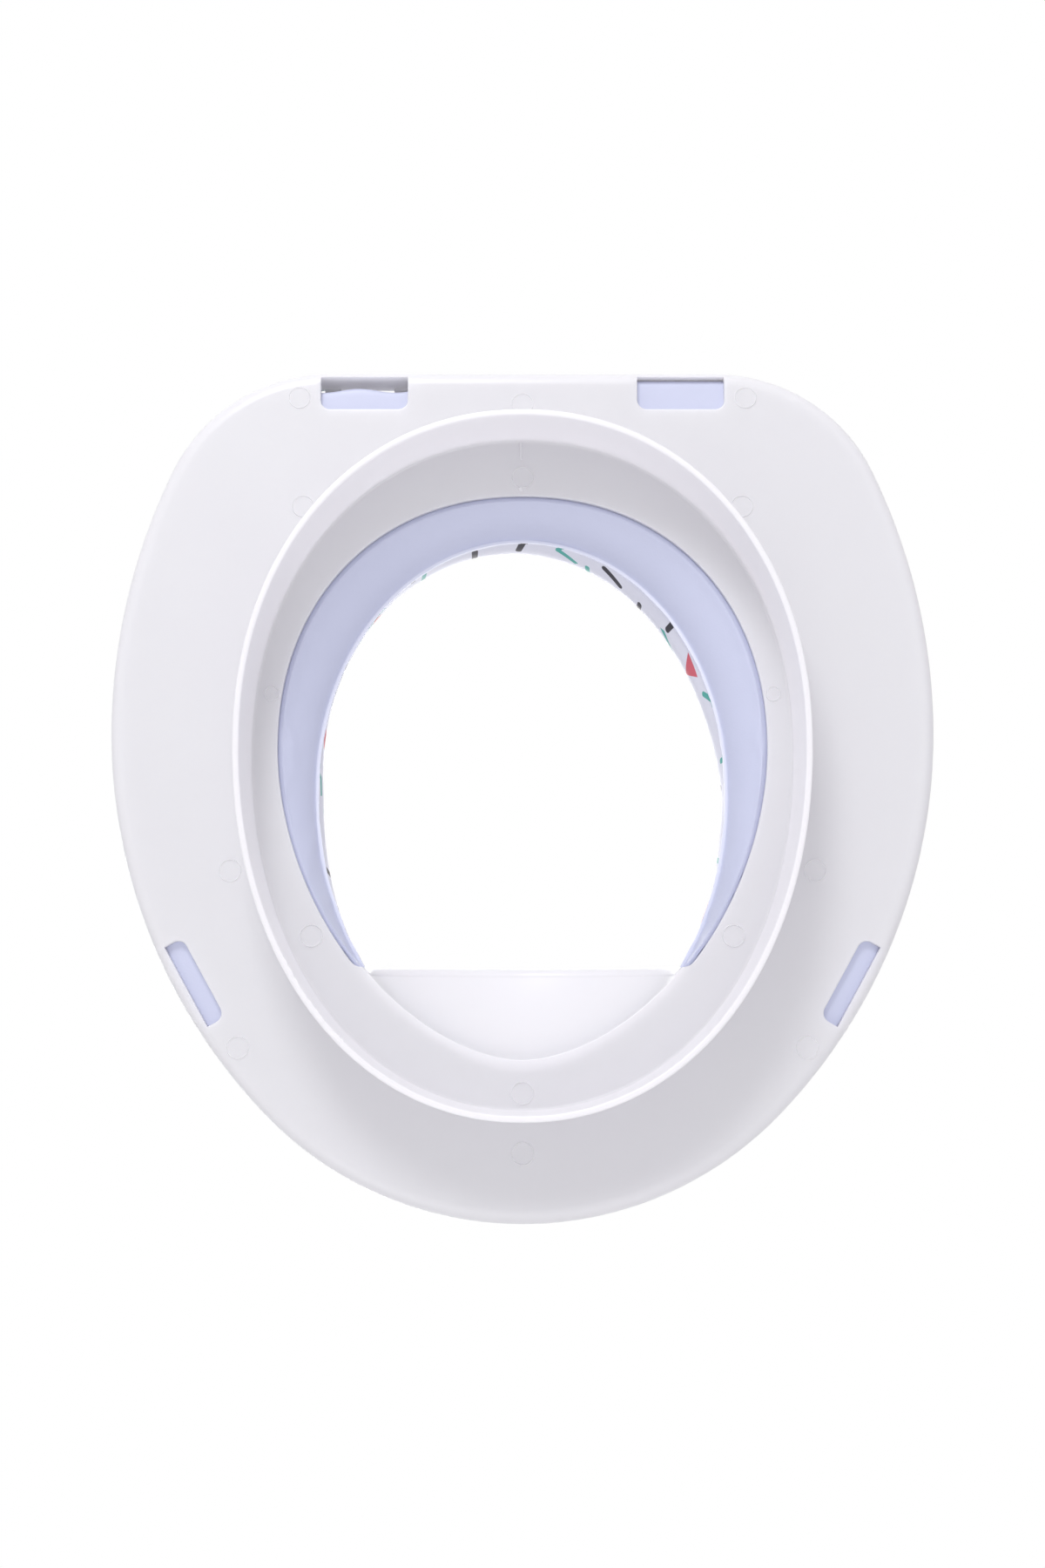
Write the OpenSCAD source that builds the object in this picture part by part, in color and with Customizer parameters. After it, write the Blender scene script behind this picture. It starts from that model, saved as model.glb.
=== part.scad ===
// Padded child's toilet seat insert.
// A moulded base with an oval locating skirt and a hooded splash guard carries a
// ring-shaped cushion, made of a lower and an upper vinyl cover welded round a foam ring.
// The seat stands on the rim of its skirt, with the front towards -Y.

/* [Plate outline] */
// Width of the plate over its outer lip
plate_w = 292; // [270:1:320]
// Length of the plate from front to rear
plate_len = 302.4; // [290:0.2:330]
// Distance from the middle of the plate back to its widest line
plate_wide_y = 24.2; // [15:0.1:32]
// Radius of the two rear corners
corner_r = 61.7; // [50:0.1:70]
// Radius of the long curves between the widest line and the rear corners
rear_side_r = 219.7; // [200:0.1:260]
// How much smaller the radius of the front end is than half the width
front_narrow = 20.6; // [14:0.1:30]

/* [Moulding walls] */
// Thickness of the plate
plate_t = 2.5; // [2:0.1:3.5]
// Thickness of the upstanding rim
rim_t = 2.1; // [1.6:0.1:2.6]
// Height of the rim's top edge above the underside of the plate
rim_h = 17.5; // [15.5:0.1:19]
// Outer radius between the plate and the rim
lip_r = 5; // [3.5:0.1:6]
// How far the rim leans outwards at its top
rim_lean = 0.4; // [0:0.1:0.8]

/* [Skirt] */
// Height of the oval skirt below the plate
skirt_h = 28; // [20:0.5:36]
// Greatest width of the skirt
skirt_w = 195.6; // [188:0.2:206]
// Width of the flange behind the skirt
rear_flange = 23.9; // [20:0.1:29]
// Width of the flange in front of the skirt
front_flange = 36.3; // [29:0.1:41]
// Distance of the skirt's widest line behind the middle of the plate
skirt_wide_y = 13.5; // [9:0.1:18]
// Thickness of the skirt at its free edge
skirt_t = 2.2; // [1.6:0.1:2.8]
// Draft on each face of the skirt over its height
skirt_draft = 0.3; // [0:0.1:0.6]

/* [Opening] */
// Width of the floor ring at each side, from the outer face of the skirt to the opening
side_floor = 11.4; // [8:0.1:16]
// Width of the floor ring at the rear
rear_floor = 22.7; // [17:0.1:28]
// Width of the floor ring at the front, up to the splash guard
front_floor = 19.2; // [16:0.1:23]
// Distance of the opening's widest line behind the middle of the plate
opening_wide_y = 14.5; // [8:0.1:20]

/* [Splash guard] */
// How far the guard reaches back over the opening, up to its straight edge
guard_reach = 32.3; // [27:0.1:38]
// Height of the guard's highest point above the underside of the plate
guard_h = 44; // [38:0.5:54]
// Thickness of the guard
guard_t = 2.2; // [1.8:0.1:2.6]
// Width of the bead along the guard's straight edge
bead_w = 2.2; // [1.5:0.1:3]
// How far the bead stands out of the guard
bead_h = 0.8; // [0.4:0.1:1.2]

/* [Clip windows] */
// Length of each window in the plate
window_len = 31.4; // [26:0.2:36]
// Depth of the rear windows in front of the rim
window_depth = 12.2; // [9:0.1:15]
// Radius of the rounded corners of the windows
window_r = 3.4; // [2:0.1:3.4]
// Distance of each rear window's middle in from the start of the corner's curve
rear_window_in = 13; // [6:0.1:20]
// Width of the front windows
front_window_w = 7; // [6.9:0.1:9]
// Distance of the front windows in from the edge of the plate
front_window_in = 4.3; // [3.6:0.1:5]
// Direction in which the front windows face
front_window_angle = -29.5; // [-34:0.5:-24]
// Width of each clip tooth
tooth_w = 5.8; // [4:0.1:8]
// How far the clip teeth stand out of the rim
tooth_reach = 3; // [2:0.1:3.2]
// Height of the clip teeth
tooth_h = 3; // [2:0.1:3]

/* [Cushion] */
// Height of the cushion above the plate
cushion_h = 29.5; // [27:0.5:36]
// How far the cushion covers each side of the opening
cover_side = 14.9; // [11:0.1:18]
// How far the cushion covers the rear of the opening
cover_rear = 15.7; // [12:0.1:24]
// Distance of the hole's widest line behind the middle of the plate
hole_wide_y = 8; // [4:0.1:12]
// Room between the splash guard and the cushion, which lies just outside it
guard_gap = 1.3; // [1.2:0.1:2]
// Thickness of the vinyl covers
cover_t = 0.8; // [0.5:0.1:0.9]
// Clearance between the cushion and the moulding, and between foam and covers
clearance = 0.3; // [0.3:0.1:0.4]
// Width of the weld bead round the inside of the hole
inner_weld = 1; // [0.8:0.1:1.4]
// How far the weld at the hole sits back under the upper cover at the rear
weld_back = 2.7; // [0:0.1:3.5]
// How far it sits back at each side
weld_side = 0.9; // [0:0.1:1.5]
// How much of the cushion's width its flat top takes up
crown_fullness = 2.7; // [2.2:0.1:3.5]

/* [Hidden] */

// Steps along half of each outline, from the front to the rear
half_steps = 28;
// Normal angle at which an oval outline stops short of its rear point
rear_split = 88;
overlap = 1;
// Rounding of the free edges of the rim and the skirt
edge_r = 0.7;

// How far the guard's inner face starts inside the opening's edge
guard_in = 0.4;
// Width of the plate left bare between the opening and the cushion
ledge = guard_t + guard_gap;

half_w = plate_w / 2;
half_len = plate_len / 2;
front_r = half_w - front_narrow;
skirt_rear = half_len - rear_flange;
skirt_front = half_len - front_flange;
opening_w = skirt_w - 2 * side_floor;
opening_rear = skirt_rear - rear_floor;
opening_front = skirt_front - front_floor;
guard_edge_y = opening_front - guard_reach;
hole_w = opening_w - 2 * cover_side;
hole_rear = opening_rear - cover_rear;
plate_z = skirt_h;
plate_top = plate_z + plate_t;
rim_top = plate_z + rim_h;

// Centres of the tangent arcs that make up the plate's outline
rear_side_x = half_w - rear_side_r;
corner_y = half_len - corner_r;
corner_x = rear_side_x + sqrt((rear_side_r - corner_r) ^ 2 - (corner_y - plate_wide_y) ^ 2);
corner_angle = atan2(corner_y - plate_wide_y, corner_x - rear_side_x);
front_y = front_r - half_len;
front_drop = plate_wide_y - front_y;
front_side_x = (front_narrow ^ 2 - front_drop ^ 2) / (2 * front_narrow);
front_side_r = half_w - front_side_x;
front_angle = atan2(front_y - plate_wide_y, -front_side_x);
rear_window_x = corner_x - rear_window_in;

// An oval is [half width, widest y, rear y, front y, rear fullness, front fullness]
skirt_oval = [skirt_w / 2, skirt_wide_y, skirt_rear, -skirt_front, 2.1, 2.1];
opening_oval = [opening_w / 2, opening_wide_y, opening_rear, -opening_front, 2.15, 1.87];
guard_oval = [opening_w / 2 - guard_in, opening_wide_y, opening_rear, guard_in - opening_front, 2.15, 1.78];
hole_oval = [hole_w / 2, hole_wide_y, hole_rear, -opening_front - ledge, 2.15, 2.5];
weld_oval = [hole_w / 2 + weld_side, hole_wide_y, hole_rear + weld_back, -opening_front - ledge, 2.15, 2.5];

// The guard is part of a dome over the whole opening, cut off at its straight edge
guard_edge_share = (opening_wide_y + guard_edge_y) / (opening_wide_y + opening_front);
dome_h = guard_h / sqrt(1 - guard_edge_share ^ 2);
dome_steps = 8;
dome_top_share = guard_edge_share - 0.06;

// The cushion's weld flange lies under the clip teeth, and its crown starts above the rim
tooth_z = rim_top - tooth_h;
weld_z = tooth_z - cover_t - clearance;
cushion_top = plate_top + cushion_h;
crown_z = rim_top + 5;
flange_out = -rim_t - clearance;
flange_in = -rim_t - tooth_reach - 0.6;
puff_out = -rim_t + 0.6;
// Rounded corner of the lower cover against the plate, bulging out beyond the flange's inner edge
foot_out = flange_in + 2.2;
foot_r = 3.6;
// Bend of the lower cover between the plate and the weld at the hole, as shares of the way
bend_out = 0.6;
bend_up = 0.45;
// Where the upper cover leaves the flange to pass over the clip teeth
shoulder_out = flange_in + 2.4;
shoulder_z = rim_top + 1.8;
// Shares of the way over the crown at which its section is drawn
crown_shares = [0.04, 0.12, 0.26, 0.5, 0.74, 0.88, 0.96];
// Depth by which the rear windows cut into the rim's inner face
window_relief = 0.05;

// Ejector pins' marks: [normal angle, distance in from the plate's edge]
plate_marks = [[78.7, 9.2], [-37.8, 8.3]];
// Marks beside the skirt: [normal angle, distance out from its outer face]
skirt_marks = [[40, 9.9], [-13, 9]];
// Marks on the floor ring: [normal angle, distance out from the opening]
floor_marks = [[-31, 6.3]];
small_marks = [[8.5, 3.5]];
// Marks on the middle line, behind and in front of the skirt and the opening
middle_marks = [skirt_rear + 11.3, opening_rear + 6.8, -opening_front - 10.9, 24.2 - half_len];
mark_d = 8;
small_mark_d = 5.5;
mark_h = 0.2;

// One point of the plate's outline, whose normal points along phi, moved out by off
function plate_right(phi, off) =
    phi > corner_angle ? [corner_x, corner_y] + (corner_r + off) * dir(phi) :
    phi > 0 ? [rear_side_x, plate_wide_y] + (rear_side_r + off) * dir(phi) :
    phi > front_angle ? [front_side_x, plate_wide_y] + (front_side_r + off) * dir(phi) :
    [0, front_y] + (front_r + off) * dir(phi);

function dir(phi) = [cos(phi), sin(phi)];

// One point of an oval, whose normal points along phi, moved out by off
function oval_right(oval, phi, off) =
    let (p = min(phi, rear_split),
         rear = p > 0,
         depth = rear ? oval[2] - oval[1] : oval[1] - oval[3],
         n = rear ? oval[4] : oval[5],
         t = atan((depth / oval[0] * tan(min(abs(p), 89.99))) ^ (n / (2 * n - 2))),
         x = oval[0] * cos(t) ^ (2 / n),
         y = depth * sin(t) ^ (2 / n))
    [x, oval[1] + (rear ? y : -y)] + off * dir(p);

// A closed outline that repeats the right half, from front to rear, on the left
function mirrored(right) =
    let (last = len(right) - 1)
    concat(right, [for (i = [last:-1:1]) [-right[i][0], right[i][1]]]);

function phi_at(i) = -90 + 180 * i / half_steps;

function plate_outline(off) =
    mirrored([for (i = [0:half_steps]) i == 0 ? [0, -half_len - off] : plate_right(phi_at(i), off)]);

function oval_outline(oval, off) =
    mirrored([for (i = [0:half_steps]) i == 0 ? [0, oval[3] - off] : oval_right(oval, phi_at(i), off)]);

function mix_outline(a, b, share) = [for (i = [0:len(a) - 1]) a[i] * (1 - share) + b[i] * share];

function at_z(outline, z) = [for (p = outline) [p[0], p[1], z]];

// A ring-shaped solid whose section runs through the given closed loop of outlines
module ring_loft(rings) {
    count = len(rings[0]);
    total = len(rings);
    polyhedron(
        points = [for (ring = rings) each ring],
        faces = [for (r = [0:total - 1], i = [0:count - 1])
            let (next = (r + 1) % total,
                 j = (i + 1) % count,
                 a = r * count + i,
                 b = r * count + j,
                 c = next * count + j,
                 d = next * count + i)
            each [[a, c, b], [a, d, c]]]);
}

// A solid between a stack of level outlines, closed by its lowest and highest outline
module stack_loft(rings) {
    count = len(rings[0]);
    total = len(rings);
    polyhedron(
        points = [for (ring = rings) each ring],
        faces = concat(
            [[for (i = [0:count - 1]) i]],
            [[for (i = [count - 1:-1:0]) (total - 1) * count + i]],
            [for (r = [0:total - 2], i = [0:count - 1])
                let (j = (i + 1) % count,
                     a = r * count + i,
                     b = r * count + j,
                     c = (r + 1) * count + j,
                     d = (r + 1) * count + i)
                each [[a, d, c], [a, c, b]]]));
}

// Plate, lip and rim as one wall of even thickness
module plate_and_rim() {
    lip_in = lip_r - rim_t;
    ring_loft(concat(
        [at_z(oval_outline(opening_oval, 0), plate_z)],
        [for (a = [0:30:90])
            at_z(plate_outline(lip_r * (sin(a) - 1)), plate_z + lip_r * (1 - cos(a)))],
        [at_z(plate_outline(rim_lean), rim_top - edge_r),
         at_z(plate_outline(rim_lean - edge_r), rim_top),
         at_z(plate_outline(rim_lean - rim_t + edge_r), rim_top),
         at_z(plate_outline(rim_lean - rim_t), rim_top - edge_r)],
        [for (a = [90:-45:0])
            at_z(plate_outline(-rim_t - lip_in * (1 - sin(a))), plate_top + lip_in * (1 - cos(a)))],
        [at_z(oval_outline(opening_oval, 0), plate_top)]));
}

// Oval wall that drops into the toilet seat, thinner at its rounded free edge
module skirt() {
    ring_loft([
        at_z(oval_outline(skirt_oval, skirt_draft), plate_z + plate_t / 2),
        at_z(oval_outline(skirt_oval, -skirt_t - skirt_draft), plate_z + plate_t / 2),
        at_z(oval_outline(skirt_oval, -skirt_t), edge_r),
        at_z(oval_outline(skirt_oval, -skirt_t + edge_r), 0),
        at_z(oval_outline(skirt_oval, -edge_r), 0),
        at_z(oval_outline(skirt_oval, 0), edge_r)]);
}

// Front half of a dome over the opening, grown by off on every side
module guard_dome(off, below) {
    function level(share, z) = [for (i = [-half_steps / 2:half_steps / 2])
        let (p = i == 0 ? [0, guard_oval[3] - off] : oval_right(guard_oval, phi_at(abs(i)), off))
        [sign(i) * p[0] * share, guard_oval[1] + (p[1] - guard_oval[1]) * share, z]];
    stack_loft(concat(
        below > 0 ? [level(1, plate_z - below)] : [],
        [for (k = [0:dome_steps])
            let (share = 1 - (1 - dome_top_share) * (k / dome_steps) ^ 2)
            level(share, plate_z + (dome_h + off) * sqrt(1 - share ^ 2))]));
}

// Everything in front of the guard's straight edge, as deep as is asked for
module front_slice(depth) {
    translate([-half_w, -guard_edge_y - depth, 0]) cube([plate_w, depth, plate_z + 2 * dome_h]);
}

// Hood that rises from the floor ring, with a bead along its straight edge
module splash_guard() {
    difference() {
        union() {
            intersection() {
                guard_dome(guard_t, 0);
                front_slice(half_len);
            }
            intersection() {
                guard_dome(guard_t + bead_h, 0);
                front_slice(bead_w);
            }
            intersection() {
                translate([0, 0, plate_z])
                    linear_extrude(plate_t) polygon(oval_outline(opening_oval, overlap));
                front_slice(half_len);
            }
        }
        guard_dome(0, overlap);
    }
}

// Window outline on the x axis, square at its outer side and rounded at its inner side
module window_shape(depth) {
    translate([-window_len / 2, window_r]) square([window_len, depth - window_r]);
    translate([window_r - window_len / 2, 0]) square([window_len - 2 * window_r, depth]);
    for (side = [-1, 1]) translate([side * (window_len / 2 - window_r), window_r]) circle(window_r, $fn = 32);
}

// One clip tooth, with its root in a wall whose face lies on the x axis
module tooth() {
    lead_in = tooth_h - 1;
    translate([-tooth_w / 2, 0, tooth_z]) rotate([90, 0, 90]) linear_extrude(tooth_w)
        polygon([[-tooth_reach, 0], [rim_t / 2, 0], [rim_t / 2, tooth_h],
                 [-tooth_reach + lead_in, tooth_h], [-tooth_reach, tooth_h - lead_in]]);
}

// Leaves its children as they are, or mirrors them to the other side
module on_side(side) {
    mirror([side > 0 ? 0 : 1, 0, 0]) children();
}

// The four windows through the plate, the rear ones reaching back to the rim
module windows() {
    for (side = [-1, 1]) on_side(side) {
        translate([rear_window_x, half_len - rim_t - window_depth, plate_z - overlap])
            linear_extrude(plate_t + lip_r) window_shape(window_depth + window_relief);
        translate([0, 0, plate_z - overlap])
            translate(plate_right(front_window_angle, -front_window_in - front_window_w))
            rotate(front_window_angle - 90)
            linear_extrude(plate_t + lip_r) window_shape(front_window_w);
    }
}

// Two clip teeth over the ends of each window
module teeth() {
    spread = window_len / 2 - tooth_w / 2;
    for (side = [-1, 1], end = [-1, 1]) on_side(side) {
        translate([rear_window_x + end * spread, half_len - rim_t]) tooth();
        phi = front_window_angle + end * asin(spread / front_side_r);
        translate(plate_right(phi, -rim_t)) rotate(phi - 90) tooth();
    }
}

// Round witness marks of the ejector pins, standing just proud of the underside
module pin_marks() {
    module mark(place, d) {
        translate([place[0], place[1], plate_z - mark_h]) cylinder(h = mark_h + plate_t / 2, d = d, $fn = 24);
    }
    for (side = [-1, 1]) on_side(side) {
        for (m = plate_marks) mark(plate_right(m[0], -m[1]), mark_d);
        for (m = skirt_marks) mark(oval_right(skirt_oval, m[0], m[1]), mark_d);
        for (m = floor_marks) mark(oval_right(opening_oval, m[0], m[1]), mark_d);
        for (m = small_marks) mark(oval_right(opening_oval, m[0], m[1]), small_mark_d);
    }
    for (y = middle_marks) mark([0, y], mark_d);
}

module base_moulding() {
    color("white") {
        difference() {
            union() {
                plate_and_rim();
                skirt();
                splash_guard();
                pin_marks();
            }
            windows();
        }
        teeth();
    }
}

// Lower half of the cushion's section, from its hole to the rim, set in by inset
function lower_section(inset) = concat(
    [at_z(oval_outline(weld_oval, inset), weld_z),
     at_z(mix_outline(oval_outline(opening_oval, ledge), oval_outline(weld_oval, inset), bend_out),
         plate_top + bend_up * (weld_z - plate_top) + inset),
     at_z(oval_outline(opening_oval, ledge + inset / 2), plate_top + inset)],
    [for (a = [0, 45, 90])
        let (r = foot_r - inset)
        at_z(plate_outline(foot_out - foot_r + r * sin(a)), plate_top + foot_r - r * cos(a))],
    [at_z(plate_outline(flange_in - inset), weld_z)]);

// Upper half of the cushion's section, from the rim over the crown to its hole
function upper_section(inset) = concat(
    [at_z(plate_outline(flange_in - inset), weld_z),
     at_z(plate_outline(flange_in - inset), rim_top),
     at_z(plate_outline(shoulder_out - inset), shoulder_z),
     at_z(plate_outline(puff_out - inset), crown_z)],
    [for (s = crown_shares)
        at_z(mix_outline(plate_outline(puff_out - inset), oval_outline(hole_oval, inset), s),
            crown_z + (cushion_top - inset - crown_z) * crown_rise(s))],
    [at_z(oval_outline(hole_oval, inset), crown_z),
     at_z(oval_outline(weld_oval, inset), weld_z)]);

// Height share of the crown at a share of the way over it, full in the middle
function crown_rise(s) = (1 - abs(2 * s - 1) ^ crown_fullness) ^ (1 / crown_fullness);

function reversed(list) = [for (i = [len(list) - 1:-1:0]) list[i]];

function inner_part(list) = [for (i = [1:len(list) - 2]) list[i]];

// Plain vinyl sheet under the foam, with a flat weld flange that tucks under the teeth
module bottom_cover() {
    flange_z = weld_z - cover_t;
    color("lavender") ring_loft(concat(
        [at_z(oval_outline(weld_oval, -inner_weld), weld_z),
         at_z(oval_outline(weld_oval, -inner_weld), flange_z),
         at_z(oval_outline(weld_oval, 0), flange_z)],
        inner_part(lower_section(0)),
        [at_z(plate_outline(flange_in), flange_z),
         at_z(plate_outline(flange_out), flange_z),
         at_z(plate_outline(flange_out), weld_z)],
        reversed(lower_section(cover_t))));
}

// Printed vinyl sheet over the foam, welded to the lower one round both edges
module top_cover() {
    flange_z = weld_z + cover_t;
    color("snow") ring_loft(concat(
        reversed(upper_section(cover_t)),
        [at_z(plate_outline(flange_out), weld_z),
         at_z(plate_outline(flange_out), flange_z),
         at_z(plate_outline(flange_in), flange_z)],
        inner_part(upper_section(0)),
        [at_z(oval_outline(weld_oval, 0), flange_z),
         at_z(oval_outline(weld_oval, -inner_weld), flange_z),
         at_z(oval_outline(weld_oval, -inner_weld), weld_z)]));
}

// Soft foam ring inside the two covers
module foam_core() {
    inset = cover_t + clearance;
    color("ivory") ring_loft(concat(inner_part(lower_section(inset)), upper_section(inset)));
}

base_moulding();
bottom_cover();
foam_core();
top_cover();
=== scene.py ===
"""Padded toilet seat insert for a small child, seen from below.

The white moulding, its oval skirt and its hooded splash guard are one continuous surface,
worked out section by section. The ring cushion is two vinyl covers blown up by a cloth
simulation and welded to each other along the hole and along the rim.
"""
import logging
import math
from collections.abc import Iterable
from dataclasses import dataclass, field
from enum import Enum

import bmesh
import bpy
import numpy as np
from mathutils import Matrix, Vector


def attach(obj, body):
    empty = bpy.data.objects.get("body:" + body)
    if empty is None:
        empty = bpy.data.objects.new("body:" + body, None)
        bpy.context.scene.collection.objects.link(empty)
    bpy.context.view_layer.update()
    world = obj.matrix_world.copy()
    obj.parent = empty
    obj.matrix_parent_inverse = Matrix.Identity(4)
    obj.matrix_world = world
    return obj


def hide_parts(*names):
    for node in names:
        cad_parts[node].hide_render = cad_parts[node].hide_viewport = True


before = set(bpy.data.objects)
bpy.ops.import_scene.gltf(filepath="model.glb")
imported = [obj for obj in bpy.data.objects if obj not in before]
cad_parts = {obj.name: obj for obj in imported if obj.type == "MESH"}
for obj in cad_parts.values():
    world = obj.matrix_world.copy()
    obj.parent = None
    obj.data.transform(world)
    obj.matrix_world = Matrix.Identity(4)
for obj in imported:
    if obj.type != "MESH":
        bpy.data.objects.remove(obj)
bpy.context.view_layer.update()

LOG = logging.getLogger("seat_insert")
MM = 0.001
RIGHT_ANGLE = math.pi / 2
NEARLY_UPRIGHT = math.radians(89.999)
FINE_STEPS = 4000
OTHER_SIDE = np.array([-1.0, 1.0, 1.0])

Socket = bpy.types.NodeSocket
Colour = tuple[float, float, float, float]


class Slot(Enum):
    """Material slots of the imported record."""

    MOULDING = "moulding"
    PLAIN_VINYL = "plain_vinyl"
    PRINTED_VINYL = "printed_vinyl"
    FOAM = "foam"


class Cut(Enum):
    """How one solid changes another."""

    JOIN = "UNION"
    REMOVE = "DIFFERENCE"


def colour(red: int, green: int, blue: int) -> Colour:
    """Turns a display colour into the linear colour that a shader takes.

    The display's curve is straight near black and a power of 2.4 above it.

    Args:
        red, green, blue: display values from 0 to 255.

    Returns:
        The linear colour with an alpha of 1.
    """
    shares = np.array([red, green, blue]) / 255
    linear = np.where(shares <= 0.04045, shares / 12.92, ((shares + 0.055) / 1.055) ** 2.4)
    return (*linear.tolist(), 1.0)


def heading(turn: np.ndarray) -> np.ndarray:
    """Unit vectors that point along the angles in turn."""
    return np.stack([np.cos(turn), np.sin(turn)], -1)


def circle(steps: int) -> np.ndarray:
    """Unit vectors in equal steps all the way round."""
    return heading(np.linspace(0, 2 * math.pi, steps + 1)[:-1])


def quarter(steps: int) -> np.ndarray:
    """Angles from 0 to a right angle in equal steps."""
    return np.linspace(0, RIGHT_ANGLE, steps + 1)


def smooth_step(share: np.ndarray) -> np.ndarray:
    """Rises smoothly from 0 to 1 as share does."""
    held = np.clip(share, 0, 1)
    return held * held * (3 - 2 * held)


@dataclass(frozen=True)
class Oval:
    """Egg-shaped outline made of half a superellipse at the rear and another at the front."""

    half_width: float
    wide_y: float
    rear_y: float
    front_y: float
    rear_fullness: float
    front_fullness: float
    last_turn: float = RIGHT_ANGLE

    def at(self, turn: np.ndarray, off: float | np.ndarray = 0.0) -> np.ndarray:
        """Points of the right half whose normals point along turn, moved out by off.

        A superellipse |x/a|^n + |y/d|^n = 1 has its normal at the angle turn where
        tan(t) = (d/a |tan(turn)|)^(n/(2n-2)), x = a cos(t)^(2/n) and y = d sin(t)^(2/n).

        Args:
            turn: normal angles, from -90 degrees at the front to 90 at the rear.
            off: distance outwards, one for all points or one each.

        Returns:
            An array of points in plan.
        """
        rear = turn > 0
        depth = np.where(rear, self.rear_y - self.wide_y, self.wide_y - self.front_y)
        n = np.where(rear, self.rear_fullness, self.front_fullness)
        steep = np.tan(np.minimum(np.abs(turn), NEARLY_UPRIGHT))
        t = np.arctan((depth / self.half_width * steep) ** (n / (2 * n - 2)))
        x = np.where(np.abs(turn) > NEARLY_UPRIGHT, 0, self.half_width * np.cos(t) ** (2 / n))
        y = self.wide_y + np.where(rear, 1, -1) * depth * np.sin(t) ** (2 / n)
        return np.stack([x, y], -1) + np.asarray(off)[..., None] * heading(turn)


@dataclass(frozen=True)
class PlateOutline:
    """Outline of the plate: tangent arcs, with a straight end at the rear.

    A turn past 90 degrees slides along the straight end, and one radian more is its middle.
    """

    width: float = 292 * MM
    length: float = 302.4 * MM
    wide_y: float = 24.2 * MM
    corner_r: float = 61.7 * MM
    rear_side_r: float = 219.7 * MM
    front_narrow: float = 20.6 * MM
    last_turn: float = RIGHT_ANGLE + 1

    @property
    def corner(self) -> tuple[float, float]:
        """Centre of the rear corner's arc."""
        y = self.length / 2 - self.corner_r
        reach = (self.rear_side_r - self.corner_r) ** 2 - (y - self.wide_y) ** 2
        return self.width / 2 - self.rear_side_r + math.sqrt(reach), y

    def at(self, turn: np.ndarray, off: float | np.ndarray = 0.0) -> np.ndarray:
        """Points of the right half whose normals point along turn, moved out by off.

        Each point is the centre of its arc plus the arc's radius along the normal.

        Args:
            turn: normal angles from -90 degrees at the front, or more on the straight end.
            off: distance outwards, one for all points or one each.

        Returns:
            An array of points in plan.
        """
        half_w = self.width / 2
        corner_x, corner_y = self.corner
        side_x = half_w - self.rear_side_r
        corner_turn = math.atan2(corner_y - self.wide_y, corner_x - side_x)
        front_r = half_w - self.front_narrow
        front_y = front_r - self.length / 2
        drop = self.wide_y - front_y
        front_side_x = (self.front_narrow**2 - drop**2) / (2 * self.front_narrow)
        front_turn = math.atan2(-drop, -front_side_x)
        arcs = [turn > corner_turn, turn > 0, turn > front_turn]
        x = np.select(arcs, [corner_x, side_x, front_side_x], 0.0)
        y = np.select(arcs, [corner_y, self.wide_y, self.wide_y], front_y)
        radius = np.select(arcs, [self.corner_r, self.rear_side_r, half_w - front_side_x], front_r)
        x = x - corner_x * np.clip(turn - RIGHT_ANGLE, 0, 1)
        normal = heading(np.minimum(turn, RIGHT_ANGLE))
        return np.stack([x, y], -1) + (radius + off)[..., None] * normal


Outline = Oval | PlateOutline


def even_turns(outline: Outline, first: float, steps: int) -> np.ndarray:
    """Turns at equal distances along an outline, from the turn first to the rear.

    Args:
        outline: the outline to walk along.
        first: turn at which the walk starts.
        steps: number of equal steps.

    Returns:
        An array of steps + 1 turns.
    """
    fine = np.linspace(first, outline.last_turn, FINE_STEPS)
    steps_long = np.linalg.norm(np.diff(outline.at(fine), axis=0), axis=1)
    walked = np.concatenate([[0], np.cumsum(steps_long)])
    return np.interp(np.linspace(0, walked[-1], steps + 1), walked, fine)


def raised(plan: np.ndarray, z: float | np.ndarray) -> np.ndarray:
    """Lifts points in plan to the height z."""
    return np.column_stack([plan, np.broadcast_to(z, len(plan))])


def mirrored(half: np.ndarray) -> np.ndarray:
    """Closes a surface's right half, its columns from front to rear, with its mirror image."""
    left = half[:, -2:0:-1] * OTHER_SIDE
    return np.concatenate([half, left], axis=1)


def grid_faces(rows: int, columns: int, closed: bool) -> np.ndarray:
    """Four-sided faces of a grid whose columns go round.

    Args:
        rows, columns: size of the grid.
        closed: whether the last row joins the first.

    Returns:
        An array of faces, four vertex numbers each.
    """
    index = np.arange(rows * columns).reshape(rows, columns)
    here = index if closed else index[:-1]
    above = np.roll(index, -1, axis=0) if closed else index[1:]
    corners = [here, np.roll(here, -1, axis=1), np.roll(above, -1, axis=1), above]
    return np.stack(corners, -1).reshape(-1, 4)


def loft_faces(rows: int, columns: int) -> list[list[int]]:
    """Faces of a tube of rows by columns, closed by one face at each end."""
    walls = grid_faces(rows, columns, closed=False).tolist()
    last = (rows - 1) * columns
    return walls + [list(range(columns))[::-1], list(range(last, last + columns))]


def new_object(name: str, vertices: np.ndarray, faces: list | np.ndarray) -> bpy.types.Object:
    """Makes an object at the origin from points and faces.

    Args:
        name: name of the object and of its mesh.
        vertices: points, three numbers each.
        faces: vertex numbers of each face.

    Returns:
        The new object, linked to the scene.
    """
    mesh = bpy.data.meshes.new(name)
    mesh.from_pydata(vertices.reshape(-1, 3).tolist(), [], [list(f) for f in faces])
    mesh.update()
    made = bpy.data.objects.new(name, mesh)
    bpy.context.scene.collection.objects.link(made)
    return made


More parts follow.
